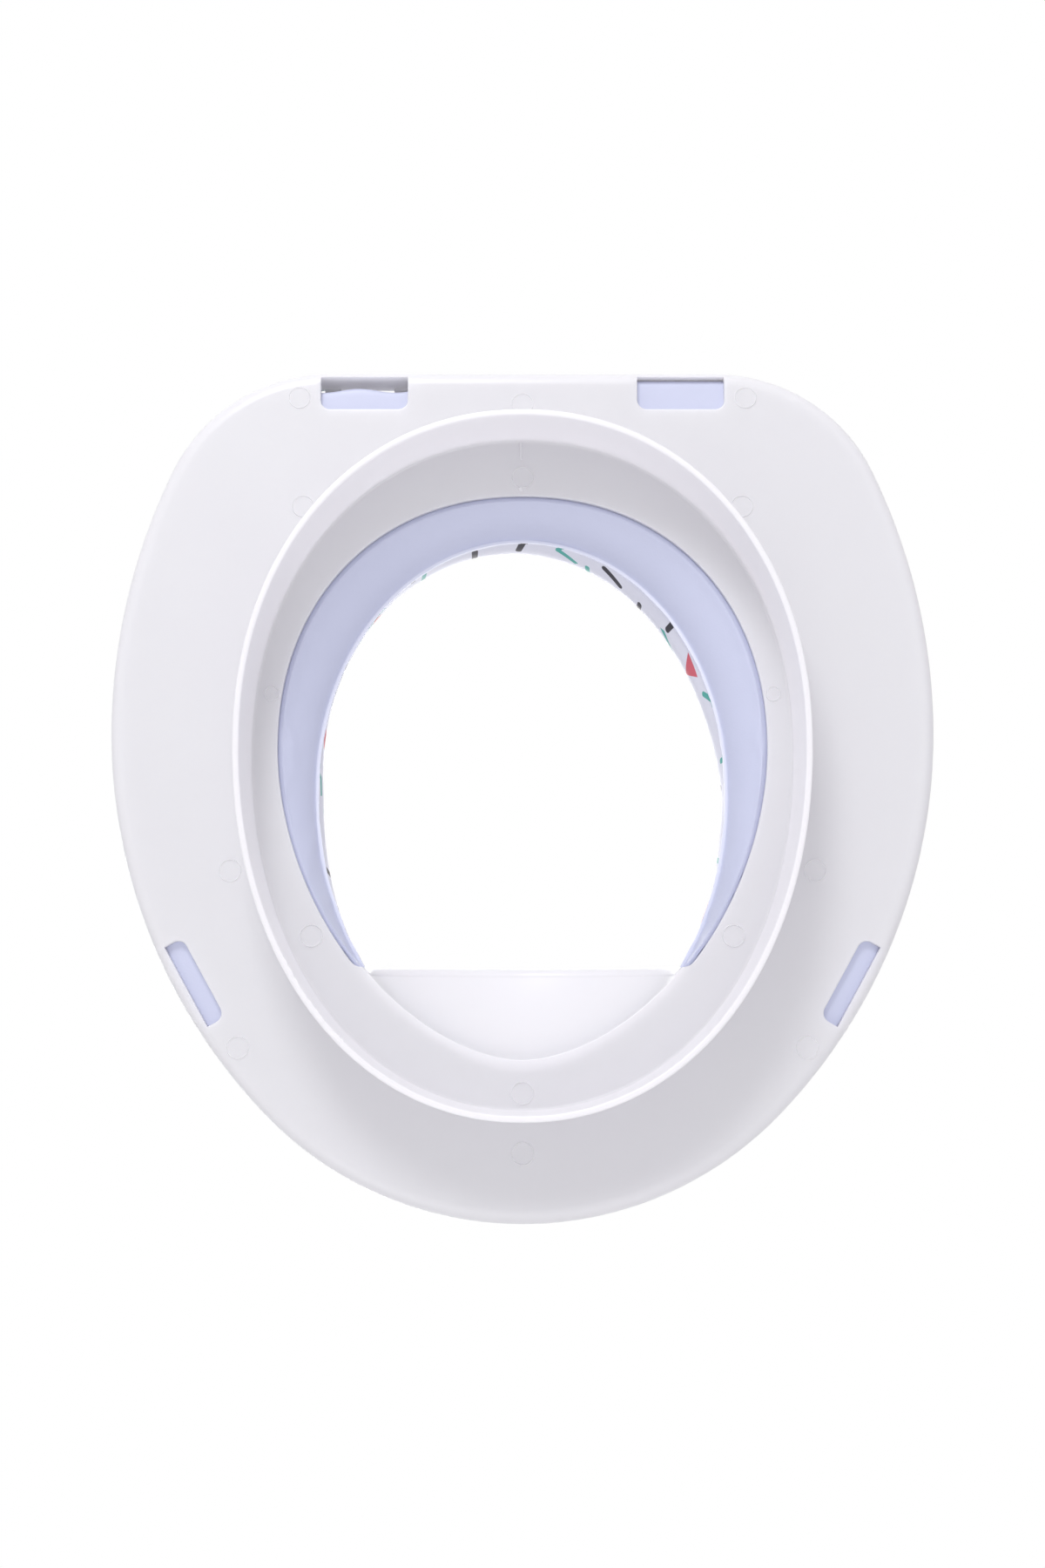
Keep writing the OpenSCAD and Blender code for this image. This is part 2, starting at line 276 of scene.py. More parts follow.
def close_up(piece: bpy.types.Object, apart: float = 0.0005 * MM) -> None:
    """Turns every face outwards, once the points that lie within apart are merged.

    Args:
        piece: object with a closed mesh.
        apart: distance up to which points are merged, or 0 to keep each one.
    """
    work = bmesh.new()
    work.from_mesh(piece.data)
    if apart > 0:
        bmesh.ops.remove_doubles(work, verts=work.verts, dist=apart)
    bmesh.ops.recalc_face_normals(work, faces=work.faces)
    work.to_mesh(piece.data)
    work.free()


def settle(piece: bpy.types.Object) -> None:
    """Puts what a piece's modifiers make of it into its mesh."""
    graph = bpy.context.evaluated_depsgraph_get()
    graph.update()
    made = bpy.data.meshes.new_from_object(piece.evaluated_get(graph))
    piece.modifiers.clear()
    piece.data = made


def combine(piece: bpy.types.Object, other: bpy.types.Object, cut: Cut) -> None:
    """Joins a second solid to a piece or takes it away, and deletes the second one."""
    boolean = piece.modifiers.new("combine", "BOOLEAN")
    boolean.operation = cut.value
    boolean.solver = "MANIFOLD"
    boolean.object = other
    settle(piece)
    bpy.data.objects.remove(other)


def shade(piece: bpy.types.Object, crease: float) -> None:
    """Shades a piece smoothly, apart from edges that turn by more than crease degrees."""
    piece.data.shade_smooth()
    piece.data.set_sharp_from_angle(angle=math.radians(crease))
    even = piece.modifiers.new("even", "WEIGHTED_NORMAL")
    even.keep_sharp = True
    settle(piece)


@dataclass(frozen=True)
class Ripple:
    """Uneven wave round a closed line: a sum of sines with random strengths and phases.

    Attributes:
        waves: fewest and most waves in one turn.
        size: typical height of the sum.
    """

    waves: tuple[int, int]
    size: float

    def at(self, count: int, seed: int) -> np.ndarray:
        """Heights of the wave that seed picks, at count places round the line."""
        luck = np.random.default_rng(seed)
        numbers = np.arange(self.waves[0], self.waves[1] + 1)[:, None]
        strengths = luck.normal(0, 1, numbers.shape) / math.sqrt(len(numbers) / 2)
        phases = luck.uniform(0, 2 * math.pi, numbers.shape)
        turn = np.linspace(0, 2 * math.pi, count, endpoint=False)
        return self.size * (strengths * np.sin(numbers * turn + phases)).sum(axis=0)


@dataclass(frozen=True)
class SplashGuard:
    """Hood over the front of the opening: part of a dome, cut by an upright plane."""

    oval: Oval
    floor_z: float
    edge_r: float
    edge_y: float = -63.4 * MM
    height: float = 44 * MM
    thickness: float = 2.2 * MM
    bead_w: float = 3.4 * MM
    bead_h: float = 0.5 * MM
    foot_r: float = 1.6 * MM
    fade: float = math.radians(22)

    @property
    def dome_h(self) -> float:
        """Height of the whole dome, of which the guard is the front part."""
        share = (self.oval.wide_y - self.edge_y) / (self.oval.wide_y - self.oval.front_y)
        return self.height / math.sqrt(1 - share**2)

    @property
    def foot_lift(self) -> float:
        """Lift up to which the dome's inner face stands upright, where the opening's edge ends."""
        return math.asin(self.edge_r / self.dome_h)

    def point(self, turn: np.ndarray, off: float | np.ndarray, lift: np.ndarray) -> np.ndarray:
        """Points of the dome, whose plan shrinks by cos(lift) while it rises by sin(lift)."""
        plan = self.oval.at(turn, off)
        share = np.minimum(np.cos(lift) / math.cos(self.foot_lift), 1)
        y = self.oval.wide_y + (plan[:, 1] - self.oval.wide_y) * share
        z = self.floor_z + (self.dome_h + off) * np.sin(lift)
        return np.column_stack([plan[:, 0] * share, y, z])

    def lift_at(self, turn: np.ndarray, off: float | np.ndarray,
                y: float | np.ndarray) -> np.ndarray:
        """Lift at which the dome meets the upright plane at y."""
        reach = self.oval.wide_y - self.oval.at(turn, off)[:, 1]
        return np.arccos(np.clip((self.oval.wide_y - y) / reach, 0, 1) * math.cos(self.foot_lift))

    def turns(self, arch: np.ndarray, off: float) -> np.ndarray:
        """Turns at which the guard's straight edge is at the angles arch round its arch.

        Args:
            arch: angles, from 90 degrees in the middle to 0 at the foot.
            off: distance outwards from the guard's inner face.

        Returns:
            One turn for each angle.
        """
        front = np.linspace(-RIGHT_ANGLE, 0, FINE_STEPS)
        foot = np.interp(self.edge_y, self.oval.at(front, off)[:, 1], front)
        fine = -RIGHT_ANGLE + (foot + RIGHT_ANGLE) * np.sin(quarter(FINE_STEPS - 1))
        edge = self.point(fine, off, self.lift_at(fine, off, self.edge_y))
        rise = edge[:, 2] - self.floor_z
        angle = np.arctan2(rise / rise[0], edge[:, 0] / edge[-1, 0])
        return np.interp(arch, angle[::-1], fine[::-1])


@dataclass(frozen=True)
class Columns:
    """One block of section columns round half of the moulding.

    Attributes:
        low: turns of the ovals for the underside and the guard's inner face.
        top: turns of the ovals for the top side and the guard's outer face.
        plate: turns of the plate's outline.
        arch: angles round the arch of the guard's edge, 0 where there is no guard.
    """

    low: np.ndarray
    top: np.ndarray
    plate: np.ndarray
    arch: np.ndarray


@dataclass(frozen=True)
class PinMark:
    """Witness of an ejector pin, placed along the normal of an outline."""

    outline: Outline
    turn: float
    off: float
    diameter: float = 8 * MM

    def centres(self) -> list[tuple[float, float]]:
        """Centres of the mark and, away from the middle line, of its mirror image."""
        x, y = self.outline.at(np.array([math.radians(self.turn)]), self.off)[0].tolist()
        return [(0.0, y)] if abs(self.turn) == 90 else [(x, y), (-x, y)]


@dataclass
class BaseMoulding:
    """White moulding: plate, rim, skirt and splash guard, with windows, teeth and pin marks."""

    plate: PlateOutline = field(default_factory=PlateOutline)
    skirt: Oval = Oval(97.8 * MM, 13.5 * MM, 127.3 * MM, -114.9 * MM, 2.1, 2.1)
    opening: Oval = Oval(86.4 * MM, 14.5 * MM, 104.6 * MM, -95.7 * MM, 2.15, 1.87)
    guard_oval: Oval = Oval(86.0 * MM, 14.5 * MM, 104.6 * MM, -95.3 * MM, 2.15, 1.78)
    floor_z: float = 28 * MM
    plate_t: float = 2.5 * MM
    rim_t: float = 2.1 * MM
    rim_h: float = 17.5 * MM
    rim_lean: float = 0.4 * MM
    lip_r: float = 5 * MM
    skirt_t: float = 2.2 * MM
    skirt_draft: float = 0.3 * MM
    root_r: float = 0.9 * MM
    edge_r: float = 0.7 * MM
    opening_r: float = 0.35 * MM
    support: float = 0.5 * MM
    arch_steps: int = 64
    rear_steps: int = 150
    fillet_steps: int = 4
    outer_steps: int = 18
    bead_steps: int = 16
    inner_steps: int = 24
    corner_round: float = 2.0 * MM
    ledge_steps: int = 6
    window_len: float = 31.4 * MM
    window_depth: float = 12.2 * MM
    window_r: float = 3.4 * MM
    window_edge_r: float = 0.6 * MM
    rear_window_in: float = 13 * MM
    front_window_w: float = 7 * MM
    front_window_in: float = 4.3 * MM
    front_window_turn: float = -29.5
    front_arc_r: float = 196 * MM
    cutter_clear: float = 1 * MM
    tooth_w: float = 5.8 * MM
    tooth_reach: float = 3 * MM
    tooth_h: float = 3 * MM
    tooth_lip: float = 1 * MM
    tooth_soft: float = 0.3 * MM
    mark_ridge: float = 0.4 * MM
    mark_h: float = 0.42 * MM
    mark_slope: float = 2.2
    mark_dips: tuple[float, float] = (0.02 * MM, 0.04 * MM)
    mark_root: float = 0.6 * MM
    weld_x: float = 0.6 * MM
    weld_len: float = 6.6 * MM
    weld_r: float = 0.5 * MM
    weld_taper: tuple[tuple[float, float], ...] = ((0.0, 1.0), (0.95, 1.0), (1.0, 0.3))
    nub_out: float = 2.4 * MM
    nub_rows: tuple[tuple[float, float], ...] = (
        (0.4 * MM, 0.7 * MM), (0.75 * MM, 0.55 * MM), (0.85 * MM, -0.4 * MM))
    flash: tuple[float, float] = (0.55, 1.25)
    flash_fade: float = 0.1
    flash_edge: Ripple = Ripple((40, 110), 0.35 * MM)
    crease: float = 34

    @property
    def plate_top(self) -> float:
        """Height of the plate's top side."""
        return self.floor_z + self.plate_t

    @property
    def rim_top(self) -> float:
        """Height of the rim's top edge."""
        return self.floor_z + self.rim_h

    @property
    def guard(self) -> SplashGuard:
        """The splash guard that stands on this moulding's opening."""
        return SplashGuard(self.guard_oval, self.floor_z, self.opening_r)

    def _underside(self, c: Columns, edge: Oval) -> list[np.ndarray]:
        """Rows from the opening's edge over the floor ring and round the skirt to the flange."""
        z0, r, root = self.floor_z, self.edge_r, self.root_r
        inner, outer = -self.skirt_t - self.skirt_draft, self.skirt_draft

        def on_skirt(off: float, z: float) -> np.ndarray:
            """Row at a distance from the skirt's outer face."""
            return raised(self.skirt.at(c.low, off), z)

        small = self.opening_r
        rows = [raised(edge.at(c.low, small * (1 - math.cos(a))), z0 + small * (1 - math.sin(a)))
                for a in quarter(4)]
        rows.append(raised(edge.at(c.low, small + self.support), z0))
        rows.append(on_skirt(inner - root - self.support, z0))
        rows += [on_skirt(inner - root + root * math.sin(a), z0 - root + root * math.cos(a))
                 for a in quarter(4)]
        for share in np.linspace(0.15, 0.95, 6):
            z = (z0 - root) * (1 - share) + r * share
            rows.append(on_skirt(-self.skirt_t - self.skirt_draft * z / z0, z))
        rows += [on_skirt(-self.skirt_t + r * (1 - math.cos(a)), r * (1 - math.sin(a)))
                 for a in quarter(4)]
        rows += [on_skirt(-r + r * math.sin(a), r * (1 - math.cos(a))) for a in quarter(4)]
        for share in np.linspace(0.05, 0.85, 6):
            z = r * (1 - share) + (z0 - root) * share
            rows.append(on_skirt(self.skirt_draft * z / z0, z))
        rows += [on_skirt(outer + root * (1 - math.cos(a)), z0 - root + root * math.sin(a))
                 for a in quarter(4)]
        rows.append(on_skirt(outer + root + self.support, z0))
        return rows

    def _rim(self, c: Columns) -> list[np.ndarray]:
        """Rows from the flange round the lip, over the rim and down to the plate's top side."""
        z0, r, lean, top = self.floor_z, self.edge_r, self.rim_lean, self.rim_top
        lip_in = self.lip_r - self.rim_t

        def on_plate(off: float, z: float) -> np.ndarray:
            """Row at a distance from the plate's outline."""
            return raised(self.plate.at(c.plate, off), z)

        rows = [on_plate(-self.lip_r - self.support, z0)]
        rows += [on_plate(self.lip_r * (math.sin(a) - 1), z0 + self.lip_r * (1 - math.cos(a)))
                 for a in quarter(8)]
        rows += [on_plate(lean * s, (z0 + self.lip_r) * (1 - s) + (top - r) * s)
                 for s in (0.1, 0.5, 0.9)]
        rows += [on_plate(lean - r * (1 - math.cos(a)), top - r * (1 - math.sin(a)))
                 for a in quarter(4)]
        rows += [on_plate(lean - self.rim_t + r * (1 - math.sin(a)), top - r * (1 - math.cos(a)))
                 for a in quarter(4)]
        rows.append(on_plate(lean / 2 - self.rim_t, (top + self.plate_top) / 2 + lip_in / 2))
        rows += [on_plate(-self.rim_t - lip_in * (1 - math.cos(a)),
                          self.plate_top + lip_in * (1 - math.sin(a))) for a in quarter(5)]
        rows.append(on_plate(-self.rim_t - lip_in - self.support, self.plate_top))
        return rows

    def _plain_edge(self, c: Columns) -> list[np.ndarray]:
        """Rows of the opening's edge where no guard stands, as many as the guard has."""
        r, top = self.opening_r, self.plate_top
        start = raised(self.opening.at(c.low, r), top)
        end = raised(self.opening.at(c.low, 0), self.floor_z + r)
        rows = [raised(self.opening.at(c.low, r + self.support), top)]
        rows += [start] * (self.fillet_steps + 1 + self.outer_steps)
        round_steps = self.bead_steps // 2
        rows += [raised(self.opening.at(c.low, r * (1 - math.sin(a))), top - r * (1 - math.cos(a)))
                 for a in quarter(round_steps)]
        drop = top - r - self.floor_z - r
        rows += [raised(self.opening.at(c.low, 0), top - r - drop * s)
                 for s in np.linspace(0, 1, self.bead_steps - round_steps + 1)[1:]]
        return rows + [end] * self.inner_steps

    def _guard_edge(self, c: Columns) -> list[np.ndarray]:
        """Rows of the guard: foot, outer face, bead along the straight edge, and inner face."""
        g = self.guard
        thick, half, top = g.thickness, g.thickness / 2, self.plate_top - self.floor_z
        rows = [raised(self.guard_oval.at(c.top, thick + g.foot_r + self.support), self.plate_top)]
        edge_lift = g.lift_at(c.top, thick, g.edge_y)
        room = np.maximum((g.dome_h + thick) * np.sin(edge_lift) - top, 0)
        fillet = np.minimum(g.foot_r, room / 2)
        for a in quarter(self.fillet_steps):
            off = thick + fillet * (1 - math.sin(a))
            lift = np.arcsin((top + fillet * (1 - math.cos(a))) / (g.dome_h + off))
            rows.append(g.point(c.top, off, lift))

        bulge = g.bead_h * smooth_step(c.arch / g.fade)
        last = math.pi - np.arcsin(half / (half + bulge))

        def bead(share: float) -> tuple[np.ndarray, np.ndarray, np.ndarray]:
            """Turn, distance out and lift on the bead, an ellipse round the wall's edge."""
            angle = share * last
            off = half + (half + bulge) * np.sin(angle)
            back = g.bead_w / 2 * (1 - np.cos(angle))
            turn = c.low + (c.top - c.low) * np.clip(off / thick, 0, 1)
            return turn, off, g.lift_at(turn, off, g.edge_y - back)

        foot_lift = np.arcsin((top + fillet) / (g.dome_h + thick))
        bead_lift = np.maximum(bead(1)[2], foot_lift)
        for share in np.linspace(0, 1, self.outer_steps + 1)[1:]:
            rows.append(g.point(c.top, thick, foot_lift + (bead_lift - foot_lift) * share))
        for share in np.linspace(1, -1, self.bead_steps + 1):
            turn, off, lift = bead(share)
            row = g.point(turn, off, lift)
            climb = (top - self.opening_r) * np.clip(off / thick, 0, 1)
            row[:, 2] = np.maximum(row[:, 2], self.floor_z + self.opening_r + climb)
            rows.append(row)
        bead_lift = np.maximum(bead(-1)[2], g.foot_lift)
        for share in np.linspace(0, 1, self.inner_steps + 1)[1:]:
            rows.append(g.point(c.low, 0.0, bead_lift + (g.foot_lift - bead_lift) * share))
        return rows

    def _block(self, c: Columns, guarded: bool) -> np.ndarray:
        """Whole section of one block of columns, as an array of rows by columns by 3."""
        edge = self.guard_oval if guarded else self.opening
        rows = self._underside(c, edge) + self._rim(c)
        rows += self._guard_edge(c) if guarded else self._plain_edge(c)
        return np.stack(rows)

    def _surface(self) -> np.ndarray:
        """Right half of the moulding: the guard's columns, its rounded corner and the rest."""
        g = self.guard
        arch = np.linspace(RIGHT_ANGLE, 0, self.arch_steps + 1)
        low, top = g.turns(arch, 0.0), g.turns(arch, g.thickness)
        with_guard = self._block(Columns(low, top, low, arch), guarded=True)

        front = np.linspace(-RIGHT_ANGLE, 0, FINE_STEPS)
        y = self.opening.at(front)[:, 1]
        corner, first = np.interp([g.edge_y, g.edge_y + self.corner_round], y, front)
        plain = np.concatenate([[corner], even_turns(self.opening, first, self.rear_steps)])
        plate = np.concatenate([[corner], even_turns(self.plate, first, self.rear_steps)])
        rest = self._block(Columns(plain, plain, plate, np.zeros_like(plain)), guarded=False)
        steps = np.linspace(0, 1, self.ledge_steps + 1)[1:-1, None]
        start, bend, end = with_guard[:, -1:], rest[:, :1], rest[:, 1:2]
        ledge = (1 - steps) ** 2 * start + 2 * steps * (1 - steps) * bend + steps**2 * end
        return np.concatenate([with_guard, ledge, rest[:, 1:]], axis=1)

    def _window_cutter(self, depth: float, middle: np.ndarray,
                       turn: float) -> tuple[np.ndarray, int]:
        """Solid that cuts one window, flared at the underside to round the window's edge.

        Args:
            depth: size of the window across the rim.
            middle: place of the middle of its inner side.
            turn: direction of its outer side, in radians.

        Returns:
            The cutter's points, and how many points each of its rows has.
        """
        half, r, flare = self.window_len / 2, self.window_r, self.window_edge_r
        arc = np.linspace(0, RIGHT_ANGLE, 9)

        def outline(off: float) -> np.ndarray:
            """Window with two round inner corners, grown by off."""
            big = r + off
            left = np.column_stack([r - half - big * np.cos(arc), r - big * np.sin(arc)])
            right = np.column_stack([half - r + big * np.sin(arc), r - big * np.cos(arc)])
            return np.concatenate([left, right, [[half + off, depth], [-half - off, depth]]])

        clear = self.cutter_clear
        heights = [(flare, self.floor_z - clear)]
        heights += [(flare * (1 - math.sin(a)), self.floor_z + flare * (1 - math.cos(a)))
                    for a in quarter(4)]
        heights += [(0.0, self.floor_z + self.plate_t + self.lip_r - clear)]
        angle = turn - RIGHT_ANGLE
        spin = np.array([[math.cos(angle), math.sin(angle)], [-math.sin(angle), math.cos(angle)]])
        rows = [raised(outline(off) @ spin + middle, z) for off, z in heights]
        return np.stack(rows), rows[0].shape[0]

    def _windows(self) -> list[tuple[np.ndarray, int]]:
        """The two rear windows and the two front ones."""
        x = self.plate.corner[0] - self.rear_window_in
        y = self.plate.length / 2 - self.rim_t - self.window_depth
        rear = self._window_cutter(self.window_depth, np.array([x, y]), RIGHT_ANGLE)
        turn = math.radians(self.front_window_turn)
        inner_side = -self.front_window_in - self.front_window_w
        middle = self.plate.at(np.array([turn]), inner_side)[0]
        front = self._window_cutter(self.front_window_w, middle, turn)
        return [rear, front] + [(points * OTHER_SIDE, count) for points, count in (rear, front)]

    def _tooth(self, root: np.ndarray, turn: float) -> np.ndarray:
        """Points of one clip tooth, which hooks over the cushion's flange.

        Args:
            root: place in plan where the tooth meets the rim's inner face.
            turn: direction out through the rim, in radians.

        Returns:
            Four sections across the tooth, the outer two a little shorter than the others.
        """
        tip, back = -self.tooth_reach, self.rim_t / 2
        low, high, top = self.rim_top - self.tooth_h, self.rim_top, self.rim_top - self.edge_r
        lead, soft, half = self.tooth_h - self.tooth_lip, self.tooth_soft, self.tooth_w / 2
        section = np.array([[tip + soft, low], [back, low], [back, top], [tip + lead, top],
                            [tip, high - lead], [tip, low + soft]])
        out = np.array([math.cos(turn), math.sin(turn)])
        along = np.array([-math.sin(turn), math.cos(turn)])
        rows = []
        for aside, inset in ((-half, soft), (soft - half, 0), (half - soft, 0), (half, soft)):
            reach = section[:, 0] + inset * (section[:, 0] < 0)
            rows.append(raised(root + reach[:, None] * out + aside * along, section[:, 1]))
        return np.stack(rows)

    def _teeth(self) -> list[np.ndarray]:
        """Two clip teeth over the ends of each window."""
        spread = (self.window_len - self.tooth_w) / 2
        x = self.plate.corner[0] - self.rear_window_in
        y = self.plate.length / 2 - self.rim_t
        teeth = [self._tooth(np.array([x + end * spread, y]), RIGHT_ANGLE) for end in (-1, 1)]
        for end in (-1, 1):
            aside = end * math.asin(spread / self.front_arc_r)
            turn = math.radians(self.front_window_turn) + aside
            teeth.append(self._tooth(self.plate.at(np.array([turn]), -self.rim_t)[0], turn))
        return teeth + [tooth * OTHER_SIDE for tooth in teeth]

    def _marks(self) -> list[np.ndarray]:
        """Pin marks: a low round ridge about a disc that is nearly level with the underside."""
        marks = [PinMark(self.plate, 78.7, -9.2 * MM), PinMark(self.plate, -37.8, -8.3 * MM),
                 PinMark(self.plate, -90, -24.2 * MM),
                 PinMark(self.skirt, 40, 9.9 * MM), PinMark(self.skirt, -13, 9 * MM),
                 PinMark(self.skirt, 90, 11.3 * MM),
                 PinMark(self.opening, -31, 6.3 * MM), PinMark(self.opening, 90, 6.8 * MM),
                 PinMark(self.opening, -90, 10.9 * MM),
                 PinMark(self.opening, 8.5, 3.5 * MM, 5.5 * MM)]
        made = []
        for mark in marks:
            radius, ridge = mark.diameter / 2, self.mark_ridge
            disc, foot = self.mark_dips
            section = [(radius - ridge * self.mark_slope, disc), (radius - ridge, foot),
                       (radius - ridge / 2, self.mark_h), (radius, 0.0), (radius, -self.mark_root)]
            made += [self._turned(centre, section) for centre in mark.centres()]
        return made

    def _turned(self, centre: tuple[float, float], section: Iterable[tuple[float, float]],
                steps: int = 48) -> np.ndarray:
        """Points of a small round form on the underside.

        Args:
            centre: its middle in plan.
            section: for each row, its radius and its depth below the underside.
            steps: number of points in each row.

        Returns:
            An array of rows by points by 3.
        """
        middle = np.array(centre)
        return np.stack([raised(middle + reach * circle(steps), self.floor_z - low)
                         for reach, low in section])

    def _weld_line(self) -> np.ndarray:
        """Points of the fine line on the floor ring at the rear, where the melt met."""
        root = self.skirt.rear_y - self.skirt_t - self.root_r
        rows = []
        for back, size in self.weld_taper:
            across, up = (self.weld_r * size * circle(12)).T
            y = root - self.weld_len * back
            middle = np.array([self.weld_x, y, self.floor_z - self.weld_r / 4])
            rows.append(middle + np.column_stack([across, np.zeros(len(up)), up]))
        return np.stack(rows)

    def _nub(self) -> np.ndarray:
        """Points of the small nub that the gate left on the floor ring at the rear."""
        return self._turned((self.weld_x, self.opening.rear_y + self.nub_out), self.nub_rows, 16)

    def _flash(self, full: np.ndarray) -> None:
        """Roughens the skirt's lower edge where the mould let a little plastic out at one side."""
        side = np.arctan2(-full[..., 1], full[..., 0])
        start, end = self.flash
        near = (smooth_step((side - start) / self.flash_fade)
                * smooth_step((end - side) / self.flash_fade)
                * smooth_step(1 - full[..., 2] / self.edge_r))
        ragged = np.abs(self.flash_edge.at(full.shape[1], seed=11))
        full[..., :2] *= (1 - near * ragged / self.skirt.half_width)[..., None]

    def build(self) -> bpy.types.Object:
        """Makes the moulding as one closed mesh.

        Returns:
            The finished object.
        """
        full = mirrored(self._surface())
        self._flash(full)
        piece = new_object("moulding", full, grid_faces(full.shape[0], full.shape[1], closed=True))
        close_up(piece)
        LOG.info("moulding surface: %d rows by %d columns", full.shape[0], full.shape[1])
        for number, (points, count) in enumerate(self._windows()):
            cutter = new_object(f"cutter_{number}", points, loft_faces(len(points), count))
            close_up(cutter)
            combine(piece, cutter, Cut.REMOVE)
        for points in self._teeth() + self._marks() + [self._weld_line(), self._nub()]:
            extra = new_object("extra", points, loft_faces(points.shape[0], points.shape[1]))
            close_up(extra)
            combine(piece, extra, Cut.JOIN)
        shade(piece, self.crease)
        return piece


VINYL_CLOTH: dict[str, float] = {
    "quality": 6,
    "mass": 0.3,
    "tension_stiffness": 25,
    "compression_stiffness": 25,
    "shear_stiffness": 12,
    "bending_stiffness": 0.6,
    "air_damping": 2,
}


@dataclass
class RingCushion:
    """Foam ring in two vinyl covers, which are welded along the hole and along a flat flange."""

    base: BaseMoulding
    hole: Oval = Oval(71.9 * MM, 0.0, 88.9 * MM, -99.2 * MM, 2.0, 2.1)
    weld_z: float = 41.4 * MM
    cover_t: float = 0.8 * MM
    top: float = 60 * MM
    crown_z: float = 50.5 * MM
    crown_fullness: float = 2.7
    turn_fullness: float = 1.5
    seam_back: float = 1.0 * MM
    seam_wide: float = 1.7 * MM
    seam_shift: float = 0.3 * MM
    seam_front: float = -70 * MM
    seam_fade: float = 60 * MM
    wall_shift: float = 2.7 * MM
    wall_fade: float = 1.5
    pull: float = 4 * MM
    pulled: tuple[float, float] = (26 * MM, 90 * MM)
    pull_fade: float = 16 * MM
    pull_wave: tuple[float, float] = (0.25, 4.2 * MM)
    pulled_foot: tuple[tuple[int, ...], tuple[float, ...]] = ((0, 2, 6, 11), (0.5, 1, 0.8, 0))
    pulled_flange: tuple[float, ...] = (0.45, 0.4, 0.3, 0.15)
    flange_out: float = -2.5 * MM
    flange_in: float = -5.7 * MM
    foot_out: float = -2.2 * MM
    foot_r: float = 2.95 * MM
    ledge: float = 3.5 * MM
    ledge_step: float = 0.4 * MM
    sinking: tuple[tuple[float, float], ...] = (
        (0.4 * MM, 0.0), (-0.12 * MM, 0.15 * MM), (-0.5 * MM, 0.8 * MM), (-1.4 * MM, 1.2 * MM))
    sink_room: tuple[float, float] = (3.5 * MM, 8 * MM)
    puff_out: float = -1.5 * MM
    shoulder_out: float = -3.3 * MM
    shoulder_z: float = 47.3 * MM
    shoulder_drop: float = 1.8 * MM
    flange_rise: float = 2 * MM
    flange_edge: Ripple = Ripple((9, 40), 0.16 * MM)
    flange_swell: Ripple = Ripple((5, 24), 0.22 * MM)
    bead_edge: Ripple = Ripple((12, 50), 0.07 * MM)
    bead_rows: tuple[tuple[float, float], ...] = ((0.25 * MM, 0.2), (0.6 * MM, 0.6), (1 * MM, 1.0))
    foam_gap: float = 0.5 * MM
    pressure: float = 4.0
    slack: float = 0.012
    most_moved: float = 0.9 * MM
    most_sunk: float = 0.35 * MM
    frames: int = 20
    column_steps: int = 118
    wall_steps: int = 5
    turn_steps: int = 14
    crown_steps: int = 26
    flat_shares: tuple[float, ...] = (0.2, 0.4, 0.6, 0.8, 1.0)
    crease: float = 50

    def _columns(self) -> tuple[np.ndarray, np.ndarray, np.ndarray]:
        """Turns of the hole, of the opening and of the plate for the columns of one half."""
        return tuple(even_turns(line, -RIGHT_ANGLE, self.column_steps)
                     for line in (self.hole, self.base.opening, self.base.plate))

    @property
    def wall_shares(self) -> np.ndarray:
        """Shares of the way up the wall of the hole, above its weld, where there are rows."""
        return np.linspace(1 / self.wall_steps, 1, self.wall_steps)

    @property
    def turn_shares(self) -> np.ndarray:
        """Shares of the way from the opening's ledge to the hole where the underside has rows."""
        return np.sin(quarter(self.turn_steps)[1:]) ** (2 / self.turn_fullness)

    @property
    def crown_shares(self) -> np.ndarray:
        """Shares of the way over the crown, from the hole to the rim, where the top has rows."""
        run = np.cos(np.linspace(0, math.pi, self.crown_steps + 1)[1:-1])
        return (1 - np.sign(run) * np.abs(run) ** (2 / self.crown_fullness)) / 2

    def _lower(self) -> tuple[list[np.ndarray], int]:
        """Rows of the bottom cover from the outer weld to the inner one.

        Returns:
            The rows, and how many of them rest on the plate or in the rim.
        """
        hole, opening, plate = self._columns()
        base = self.base
        low = base.plate_top
        rows = []
        for share in (0.0, 0.35, 0.7):
            off = self.flange_in + (self.foot_out - self.flange_in) * share
            z = self.weld_z + (low + self.foot_r - self.weld_z) * share
            rows.append(raised(base.plate.at(plate, off), z))
        for a in quarter(4):
            off = self.foot_out - self.foot_r * (1 - math.cos(a))
            rows.append(raised(base.plate.at(plate, off), low + self.foot_r * (1 - math.sin(a))))
        start = base.plate.at(plate, self.foot_out - self.foot_r)
        steps = len(self.sinking)
        end = base.opening.at(opening, self.ledge + steps * self.ledge_step)
        rows += [raised(start + (end - start) * share, low) for share in self.flat_shares]
        inner = self.hole.at(hole)
        room = np.linalg.norm(base.opening.at(opening) - inner, axis=-1)
        sunk = smooth_step((room - self.sink_room[0]) / (self.sink_room[1] - self.sink_room[0]))
        for number, (off, drop) in enumerate(self.sinking):
            flat = self.ledge + (steps - 1 - number) * self.ledge_step
            edge = base.opening.at(opening, flat + (off - flat) * sunk)
            rows.append(raised(edge, low - drop * sunk))
        held = len(rows)
        end, low = rows[-1][:, :2], rows[-1][:, 2]
        for share in self.turn_shares:
            rise = 1 - (1 - share**self.turn_fullness) ** (1 / self.turn_fullness)
            rows.append(raised(end + (inner - end) * share, low + (self.weld_z - low) * rise))
        return rows, held

